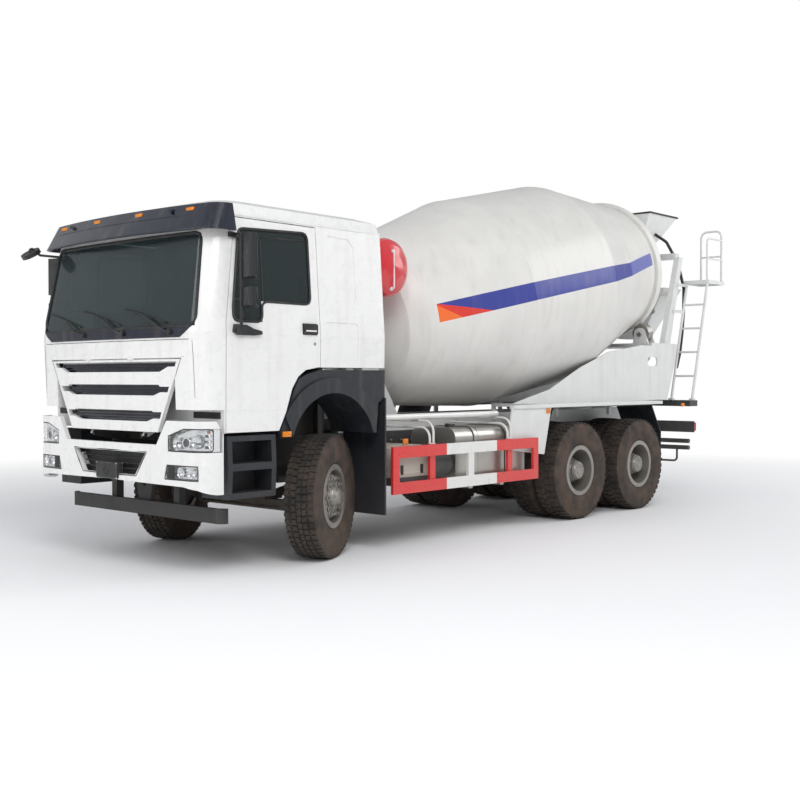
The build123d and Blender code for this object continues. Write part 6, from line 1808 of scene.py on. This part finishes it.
def cushion(low: Sequence[float], high: Sequence[float], crown: float, place: Matrix | None = None) -> Solid:
    """Makes a padded block whose faces swell between its edges.

    Args:
        low: the low corner.
        high: the high corner.
        crown: how far the faces swell.
        place: where it goes.

    Returns:
        The block.
    """
    solid = Solid()
    bmesh.ops.create_cube(solid.mesh, size=1.0)
    centre = [(a + b) / 2 for a, b in zip(low, high)]
    size = [b - a for a, b in zip(low, high)]
    bmesh.ops.subdivide_edges(solid.mesh, edges=list(solid.mesh.edges), cuts=9, use_grid_fill=True)
    for vert in solid.mesh.verts:
        u, v, w = (vert.co[i] * 2 for i in range(3))
        push = [crown * (1 - a * a) * (1 - b * b) for a, b in ((v, w), (u, w), (u, v))]
        round_off = [1 - 0.5 * (abs(a) ** 8 * abs(b) ** 8) * 0.12 for a, b in ((v, w), (u, w), (u, v))]
        half = [size[i] / 2 - crown for i in range(3)]
        vert.co = Vector([centre[i] + (u, v, w)[i] * (half[i] * round_off[i] + push[i]) for i in range(3)])
    if place is not None:
        bmesh.ops.transform(solid.mesh, matrix=place, verts=solid.mesh.verts)
    return solid


@dataclass
class Seats:
    """The two padded seats: base, back with side bolsters, and headrest.

    Attributes:
        across: where each stands across the cab.
    """

    across: tuple[float, float] = (-0.62, 0.62)

    def build(self) -> None:
        """Builds the seats in place of the CAD ones."""
        low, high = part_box("seats")
        pieces = []
        for y in self.across:
            half = min(0.26, high[1] - abs(y) - 0.005)
            base = low[2] + 0.006
            shapes = [
                ("base", (low[0] + 0.01, y - half, base + 0.24),
                 (high[0] - 0.01, y + half, base + 0.385), 0.028),
                ("back", (low[0] + 0.01, y - half + 0.01, low[2] + 0.36),
                 (low[0] + 0.15, y + half - 0.01, high[2] - 0.19), 0.03),
                ("rest", (low[0] + 0.03, y - 0.15, high[2] - 0.18),
                 (low[0] + 0.13, y + 0.15, high[2] - 0.01), 0.03)]
            for side in (-1, 1):
                shapes.append(("bolster", (low[0] + 0.05, y + side * (half - 0.04) - 0.035, low[2] + 0.38),
                               (low[0] + 0.20, y + side * (half - 0.04) + 0.035, high[2] - 0.26), 0.016))
            pieces += [cushion(a, b, crown).finish(name, Look.CLOTH) for name, a, b, crown in shapes]
            foot = Solid().box((low[0] + 0.08, y - 0.2, low[2] + 0.002),
                               (high[0] - 0.08, y + 0.2, low[2] + 0.27), 0.03)
            for shift in (-0.05, 0.05):
                foot.sweep([(low[0] + 0.08, y + shift, high[2] - 0.24),
                            (low[0] + 0.08, y + shift, high[2] - 0.1)], 0.007, sides=8)
            pieces.append(foot.finish("foot", Look.CLOTH))
        made = joined("padded_seats", pieces)
        seat(made, "cab", "seat_cloth", "seats")


@dataclass
class Helm:
    """The steering wheel over the dash.

    Attributes:
        radius: the rim's radius.
    """

    radius: float = 0.225

    def build(self) -> None:
        """Builds the wheel over the dash."""
        low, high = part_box("dashboard")
        centre = Vector((low[0] + 0.10, 0.62, high[2] - 0.06))
        place = frame_of((-0.75, 0.0, 0.66), centre)
        solid = Solid()

        def spot(angle: float, radius: float, height: float) -> Vector:
            """Finds a point about the column.

            Args:
                angle: its angle.
                radius: its distance from the column's axis.
                height: its height along that axis.

            Returns:
                The point.
            """
            return place @ Vector((radius * math.cos(angle), radius * math.sin(angle), height))

        solid.sweep([spot(math.tau * i / 36, self.radius, 0.0) for i in range(37)], 0.014, sides=10)
        for angle in (0.1, math.pi - 0.1, -math.pi / 2):
            solid.sweep([spot(angle, 0.05, -0.01), spot(angle, self.radius, 0.0)], 0.012, sides=8)
        solid.turned([(-0.03, 0.0), (-0.03, 0.075), (0.0, 0.08), (0.012, 0.06), (0.016, 0.0)], place, 28, False)
        seat(solid.finish("steering_wheel", Look.DASH), "cab", "dash_plastic")


# ---- Along the chassis ----


@dataclass
class ChassisFittings:
    """Bolt rows on the frame rails.

    Attributes:
        heights: the rows' heights.
        pitch: how far apart the bolts stand.
        rail: how far out the rails' outer faces lie.
    """

    heights: tuple[float, float] = (0.80, 0.98)
    pitch: float = 0.16
    rail: float = 0.43

    def build(self) -> None:
        """Sets rows of bolts along both frame rails."""
        pieces = []
        for sign in SIDES.values():
            for z in self.heights:
                for first, count in ((-1.0, 8), (-3.1, 14)):
                    for i in range(count):
                        hit = from_side(["chassis_frame"], FRONT_AXLE + first - i * self.pitch, z, sign)
                        if abs(abs(hit.y) - self.rail) < 0.06:
                            bolt = Solid().turned([(-0.002, 0.0), (-0.002, 0.016), (0.004, 0.016),
                                                   (0.004, 0.012), (0.014, 0.011), (0.016, 0.0)],
                                                  frame_of((0, sign, 0), hit), 6, False)
                            pieces.append(bolt.finish("bolt", Look.BARE_STEEL))
        if pieces:
            seat(joined("frame_bolts", pieces), "chassis", "frame_black")


@dataclass
class BatteryCover:
    """The beige plastic cover over the battery box, with its ribs and latches."""

    def build(self) -> None:
        """Builds the cover."""
        x0, x1 = FRONT_AXLE - 1.425, FRONT_AXLE - 0.855
        cover = Solid().box((x0, 0.595, 0.66), (x1, 1.147, 0.967), 0.03)
        for i in range(4):
            x = x0 + 0.08 + i * 0.13
            cover.box((x, 0.64, 0.958), (x + 0.06, 1.10, 0.974), 0.006)
        cover.box((x0 - 0.004, 0.592, 0.70), (x1 + 0.004, 1.15, 0.722), 0.005)
        seat(cover.finish("battery_cover", Look.BEIGE), "chassis", "dark_steel")
        latches = Solid()
        for x in (x0 + 0.12, x1 - 0.16):
            latches.box((x, 1.144, 0.70), (x + 0.035, 1.158, 0.79), 0.004)
        seat(latches.finish("battery_latches", Look.TRIM), "chassis", "dark_steel")


@dataclass
class TankFittings:
    """The fuel tank's straps and filler cap.

    Attributes:
        straps: where the straps lie, as places ahead of the front axle.
        section: the tank's outline as (across, height).
        bend: the radius of its corners.
    """

    straps: tuple[float, float] = (-2.18, -2.72)
    section: tuple = ((0.55, 0.52), (1.122, 0.52), (1.122, 1.122), (0.55, 1.122))
    bend: float = 0.114

    def build(self) -> None:
        """Builds the straps and the cap."""
        straps = Solid()
        for x in self.straps:
            for shift in (-0.034, 0.034):
                loop = rounded(self.section, self.bend, 5)
                straps.sweep([Vector((FRONT_AXLE + x + shift, y, z)) for y, z in loop], 0.005, sides=6)
        straps.turned([(0.0, 0.0), (0.0, 0.055), (0.03, 0.055), (0.034, 0.05), (0.034, 0.0)],
                      frame_of((0, 0, 1), (FRONT_AXLE - 2.03, 0.9, 1.119)), 28, False)
        seat(straps.finish("tank_straps_and_cap", Look.DARK), "chassis", "tank_metal")


# ---- Drum and rear ----


@dataclass
class DrumFittings:
    """Weld beads round the drum and the blades that reach its mouth.

    Attributes:
        beads: the beads' stations along the axis.
        blades: how many blades reach the mouth.
        foot: the station where the blades start.
        run: how far they run along the axis.
        twist: how far they turn on the way, in radians.
        inner: the radius of their inner edge.
        start: where the axis starts.
        tilt: the axis's rise to the rear.
    """

    beads: tuple[float, ...] = (1.374, 3.0, 3.65)
    blades: int = 2
    foot: float = 4.90
    run: float = 0.335
    twist: float = 2.4
    inner: float = 0.515
    start: tuple[float, float, float] = DRUM_START
    tilt: float = DRUM_TILT

    def way(self) -> Vector:
        """The axis's direction, rearwards and up.

        Returns:
            A unit vector.
        """
        return Vector((-math.cos(self.tilt), 0.0, math.sin(self.tilt)))

    def radius(self, station: float) -> float:
        """The shell's radius at a station.

        Args:
            station: the place along the drum's axis.

        Returns:
            The radius.
        """
        middle = Vector(self.start) + self.way() * station
        return on_skin(["drum_shell"], middle + Vector((0.0, 2.5, 0.0)), (0.0, -1.0, 0.0)).y

    def build(self) -> None:
        """Builds the beads and the blades."""
        beads = Solid()
        for station in self.beads:
            place = frame_of(self.way(), Vector(self.start) + self.way() * station)
            low, mid, high = (self.radius(station + shift) for shift in (-0.011, 0.0, 0.011))
            beads.turned([(-0.011, low - 0.004), (-0.008, low + 0.0008), (0.0, mid + 0.0022),
                          (0.008, high + 0.0008), (0.011, high - 0.004)], place, 144)
        seat(beads.finish("drum_weld_beads", Look.DRUM), "drum", "drum_paint")
        blades = Solid()
        across = Vector((0.0, 1.0, 0.0))
        up = self.way().cross(across)
        for index in range(self.blades):
            rings = []
            for step in range(25):
                station = self.foot + self.run * step / 24
                angle = math.pi * 2 * index / self.blades + self.twist * step / 24
                outward = across * math.cos(angle) + up * math.sin(angle)
                middle = Vector(self.start) + self.way() * station
                outer = self.radius(station) - 0.004
                section = ((self.inner, -0.003), (outer, -0.003), (outer, 0.003), (self.inner, 0.003))
                rings.append([blades.mesh.verts.new(middle + outward * r + self.way() * shift)
                              for r, shift in section])
            blades.skin(rings)
            blades.mesh.faces.new(rings[0])
            blades.mesh.faces.new(rings[-1])
        seat(blades.finish("drum_blades", Look.BARE_STEEL), "drum", "drum_paint")


@dataclass
class WaterTankFittings:
    """The gauge tubes at the water tank's ends, and the caps on top of it."""

    def build(self) -> None:
        """Builds the gauges and the caps."""
        low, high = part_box("water_tank")
        x, z = (low[0] + high[0]) / 2, (low[2] + high[2]) / 2
        gauge, caps = Solid(), Solid()
        for sign in SIDES.values():
            foot, head = (from_side(["water_tank"], x, z + rise, sign) for rise in (-0.19, 0.17))
            reach = min(max(abs(foot.y), abs(head.y)) + 0.03, 1.045)
            gauge.sweep([foot, Vector((x, sign * reach, foot.z)), Vector((x, sign * reach, head.z)), head],
                        0.008, 0.02, 8)
            for point in (foot, head):
                gauge.turned([(-0.012, 0.0), (-0.012, 0.019), (0.012, 0.019), (0.012, 0.0)],
                             frame_of((0, sign, 0), point), 12, False)
            top = on_skin(["water_tank"], (x, sign * 0.80, 4.0), (0, 0, -1))
            caps.turned([(-0.006, 0.0), (-0.006, 0.045), (0.016, 0.045), (0.022, 0.03), (0.022, 0.0)],
                        frame_of((0, 0, 1), (x, sign * 0.80, min(top.z, high[2] - 0.024))), 24, False)
        seat(gauge.finish("water_gauges", Look.PLATE_WHITE), "chassis", "painted_white")
        seat(caps.finish("water_tank_caps", Look.TRIM), "chassis", "tank_red")


@dataclass
class HopperFittings:
    """The rubber lip round the charge hopper, and the black hose from it down to the ladder.

    Attributes:
        hose: the hose's radius.
        bend: the radius of its bends.
        route: its corners as (ahead of the front axle, across, height).
    """

    hose: float = 0.021
    bend: float = 0.12
    route: tuple = ((-7.28, 0.370, 3.677), (-7.34, 0.52, 3.56), (-7.42, 0.66, 3.25), (-7.44, 0.74, 2.90),
                    (-7.36, 0.78, 2.55), (-7.28, 0.80, 2.25), (-7.22, 0.80, 1.98), (-7.148, 0.789, 1.774))

    def build(self) -> None:
        """Builds the lip and the hose."""
        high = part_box("charge_hopper")[1]
        corners = [v.co.copy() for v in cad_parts["charge_hopper"].data.vertices
                   if v.co.z > high[2] - 0.004]
        middle = sum(corners, Vector()) / len(corners)
        ring = {}
        for corner in corners:
            key = round(math.atan2(corner.y - middle.y, corner.x - middle.x) / math.tau * 48)
            if key not in ring or (corner - middle).length > (ring[key] - middle).length:
                ring[key] = corner
        loop = [ring[key] - Vector((0, 0, 0.012)) for key in sorted(ring)]
        lip = Solid().sweep(loop + [loop[0]], 0.013, sides=8)
        seat(lip.finish("hopper_rubber_lip", Look.RUBBER_HOSE), "chassis", "painted_white")
        points = [Vector((FRONT_AXLE + x, y, z)) for x, y, z in self.route]
        line = rounded_path(points, self.bend)
        made = Solid().sweep(line, self.hose, 0.0, 12).finish("hopper_hose_black", Look.RUBBER_HOSE)
        seat(made, "chassis", "painted_white")


@dataclass
class RearFittings:
    """Lamps at the ends of the top plates, the rear lamps' sections and brake chambers on the axles.

    Attributes:
        ends: where the amber lamps stand, as places ahead of the front axle.
    """

    ends: tuple[float, float] = (-3.42, -5.90)

    def build(self) -> None:
        """Builds the lamps and the chambers."""
        amber, red, white = Solid(), Solid(), Solid()
        for sign in SIDES.values():
            for x in self.ends:
                hit = from_side(["rear_mudguard_tops", "rear_wheel_covers", "mixer_subframe"],
                                FRONT_AXLE + x, 1.27, sign)
                if abs(hit.y) < 1.59:
                    amber.box((FRONT_AXLE + x - 0.035, hit.y - sign * 0.004, 1.235),
                              (FRONT_AXLE + x + 0.035, hit.y + sign * 0.012, 1.29), 0.004)
            hit = on_skin(["rear_lamps"], (FRONT_AXLE - 8.5, sign * 1.0, 0.975), (1, 0, 0))
            if hit.x > FRONT_AXLE - 7.5:
                for y0, y1, kind in ((1.135, 1.183, amber), (1.00, 1.125, red), (0.93, 0.99, white)):
                    kind.box((hit.x - 0.006, sign * y0, 0.935), (hit.x + 0.004, sign * y1, 1.015), 0.004)
        seat(amber.finish("rear_amber_lamps", Look.AMBER), "chassis", "lamp_lens")
        seat(red.finish("rear_red_sections", Look.RED_LENS), "chassis", "rear_lamp_red")
        seat(white.finish("rear_reversing_lamps", Look.LENS), "chassis", "rear_lamp_red")
        iron = Solid()
        for back in REAR_AXLES.values():
            for sign in SIDES.values():
                place = frame_of((-1, 0, 0.25), (FRONT_AXLE - back - 0.13, sign * 0.36, 0.66))
                iron.turned([(0.0, 0.0), (0.0, 0.055), (0.012, 0.078), (0.06, 0.078), (0.066, 0.084),
                             (0.076, 0.084), (0.082, 0.078), (0.12, 0.072), (0.135, 0.05), (0.135, 0.0)],
                            place, 28, False)
                iron.box((FRONT_AXLE - back - 0.16, sign * 0.32, 0.60),
                         (FRONT_AXLE - back + 0.02, sign * 0.40, 0.65), 0.006)
        seat(iron.finish("brake_chambers", Look.DARK), "chassis", "axle_iron")


# ---- Studio ----


@dataclass
class Studio:
    """The pale room with its lights and camera.

    Attributes:
        eye: the camera's place.
        turn: its heading, in degrees from the -X axis.
        rise: how much it looks up, in degrees.
        lens: its focal length in mm.
    """

    eye: Vector
    turn: float = 41.787
    rise: float = -1.156
    lens: float = 49.77

    def camera(self) -> bpy.types.Object:
        """Sets the camera.

        Returns:
            The camera.
        """
        data = bpy.data.cameras.new("camera")
        data.sensor_width, data.lens, data.clip_end = 36.0, self.lens, 200.0
        made = bpy.data.objects.new("camera", data)
        made.location = self.eye
        heading, rise = math.radians(self.turn), math.radians(self.rise)
        way = Vector((-math.cos(heading) * math.cos(rise), -math.sin(heading) * math.cos(rise), math.sin(rise)))
        made.rotation_euler = way.to_track_quat("-Z", "Y").to_euler()
        bpy.context.scene.collection.objects.link(made)
        bpy.context.scene.camera = made
        return made

    def floor(self) -> bpy.types.Object:
        """Lays the pale floor.

        Returns:
            The floor.
        """
        mesh = bpy.data.meshes.new("floor")
        size = 60.0
        mesh.from_pydata([(-size, -size, 0), (size, -size, 0), (size, size, 0), (-size, size, 0)], [],
                         [(0, 1, 2, 3)])
        made = bpy.data.objects.new("floor", mesh)
        made.location.z = -0.002
        material = bpy.data.materials.new("floor")
        material.use_nodes = True
        net = Net(material.node_tree)
        shader = net.tree.nodes["Principled BSDF"]
        shader.inputs["Base Color"].default_value = (0.93, 0.93, 0.94, 1.0)
        net.put(shader.inputs["Roughness"], net.ramp(net.noise(0.8, 3.0), 0.3, 0.7, 0.75, 0.9))
        x, y, _ = net.axes()
        far = net.ramp(net.maths("SQRT", net.maths("ADD", net.maths("MULTIPLY", x, x),
                                                   net.maths("MULTIPLY", y, y))), 5.5, 12.5)
        haze = net.node("ShaderNodeEmission", {"Color": (1.0, 1.0, 1.0, 1.0)})
        fade = net.node("ShaderNodeMixShader", {0: far, 1: shader.outputs[0], 2: haze.outputs[0]})
        net.tree.links.new(fade.outputs[0], net.tree.nodes["Material Output"].inputs["Surface"])
        mesh.materials.append(material)
        bpy.context.scene.collection.objects.link(made)
        return made

    def light(self, name: str, place: Sequence[float], target: Sequence[float], size: float,
              power: float) -> bpy.types.Object:
        """Hangs a soft light.

        Args:
            name: its name.
            place: where it hangs.
            target: what it faces.
            size: its width.
            power: its power in watts.

        Returns:
            The light.
        """
        data = bpy.data.lights.new(name, "AREA")
        data.size, data.energy = size, power
        made = bpy.data.objects.new(name, data)
        made.location = place
        made.rotation_euler = (Vector(target) - Vector(place)).to_track_quat("-Z", "Y").to_euler()
        bpy.context.scene.collection.objects.link(made)
        return made

    def world(self) -> None:
        """Lights the room from all round, and shows it near white to the camera."""
        world = bpy.data.worlds.new("room")
        bpy.context.scene.world = world
        world.use_nodes = True
        net = Net(world.node_tree)
        ground = net.tree.nodes["Background"]
        up = net.axes(net.node("ShaderNodeTexCoord").outputs["Generated"])[2]
        sky = net.blend(net.ramp(up, -0.1, 0.6), (0.62, 0.63, 0.65), (0.95, 0.97, 1.0))
        rays = net.node("ShaderNodeLightPath")
        net.put(ground.inputs["Color"], net.blend(rays.outputs["Is Camera Ray"], sky, (1.0, 1.0, 1.0)))
        net.put(ground.inputs["Strength"], net.ramp(rays.outputs["Is Camera Ray"], 0.0, 1.0, 0.56, 1.0))

    def build(self) -> list[bpy.types.Object]:
        """Builds the room.

        Returns:
            Its objects.
        """
        bpy.context.scene.view_settings.view_transform = "Standard"
        self.world()
        made = [
            self.camera(), self.floor(),
            self.light("key", (9.0, 9.0, 9.5), (1.0, 0.0, 1.4), 6.0, 820.0),
            self.light("fill", (12.0, -2.0, 4.5), (3.0, 0.0, 1.3), 5.0, 200.0),
            self.light("rear", (-9.0, 7.0, 6.5), (-3.0, 0.0, 1.6), 6.0, 370.0),
        ]
        return made


PARTS: tuple = (
    Tyres(), WheelFittings(), DoorTrim(), CabTrim(), LidBacking(), FrontLamps(), BumperTrim(), Seats(), Helm(),
    ChassisFittings(), BatteryCover(), TankFittings(), DrumFittings(), WaterTankFittings(), HopperFittings(),
    RearFittings())


def main() -> None:
    """Builds the whole scene."""
    logging.basicConfig(level=logging.INFO, format="%(message)s")
    dress_nodes()
    for part in PARTS:
        LOG.info("building %s", type(part).__name__)
        part.build()
    Studio(Vector((6.937 + FRONT_AXLE, 8.216, 1.618))).build()


if __name__ == "__main__":
    main()
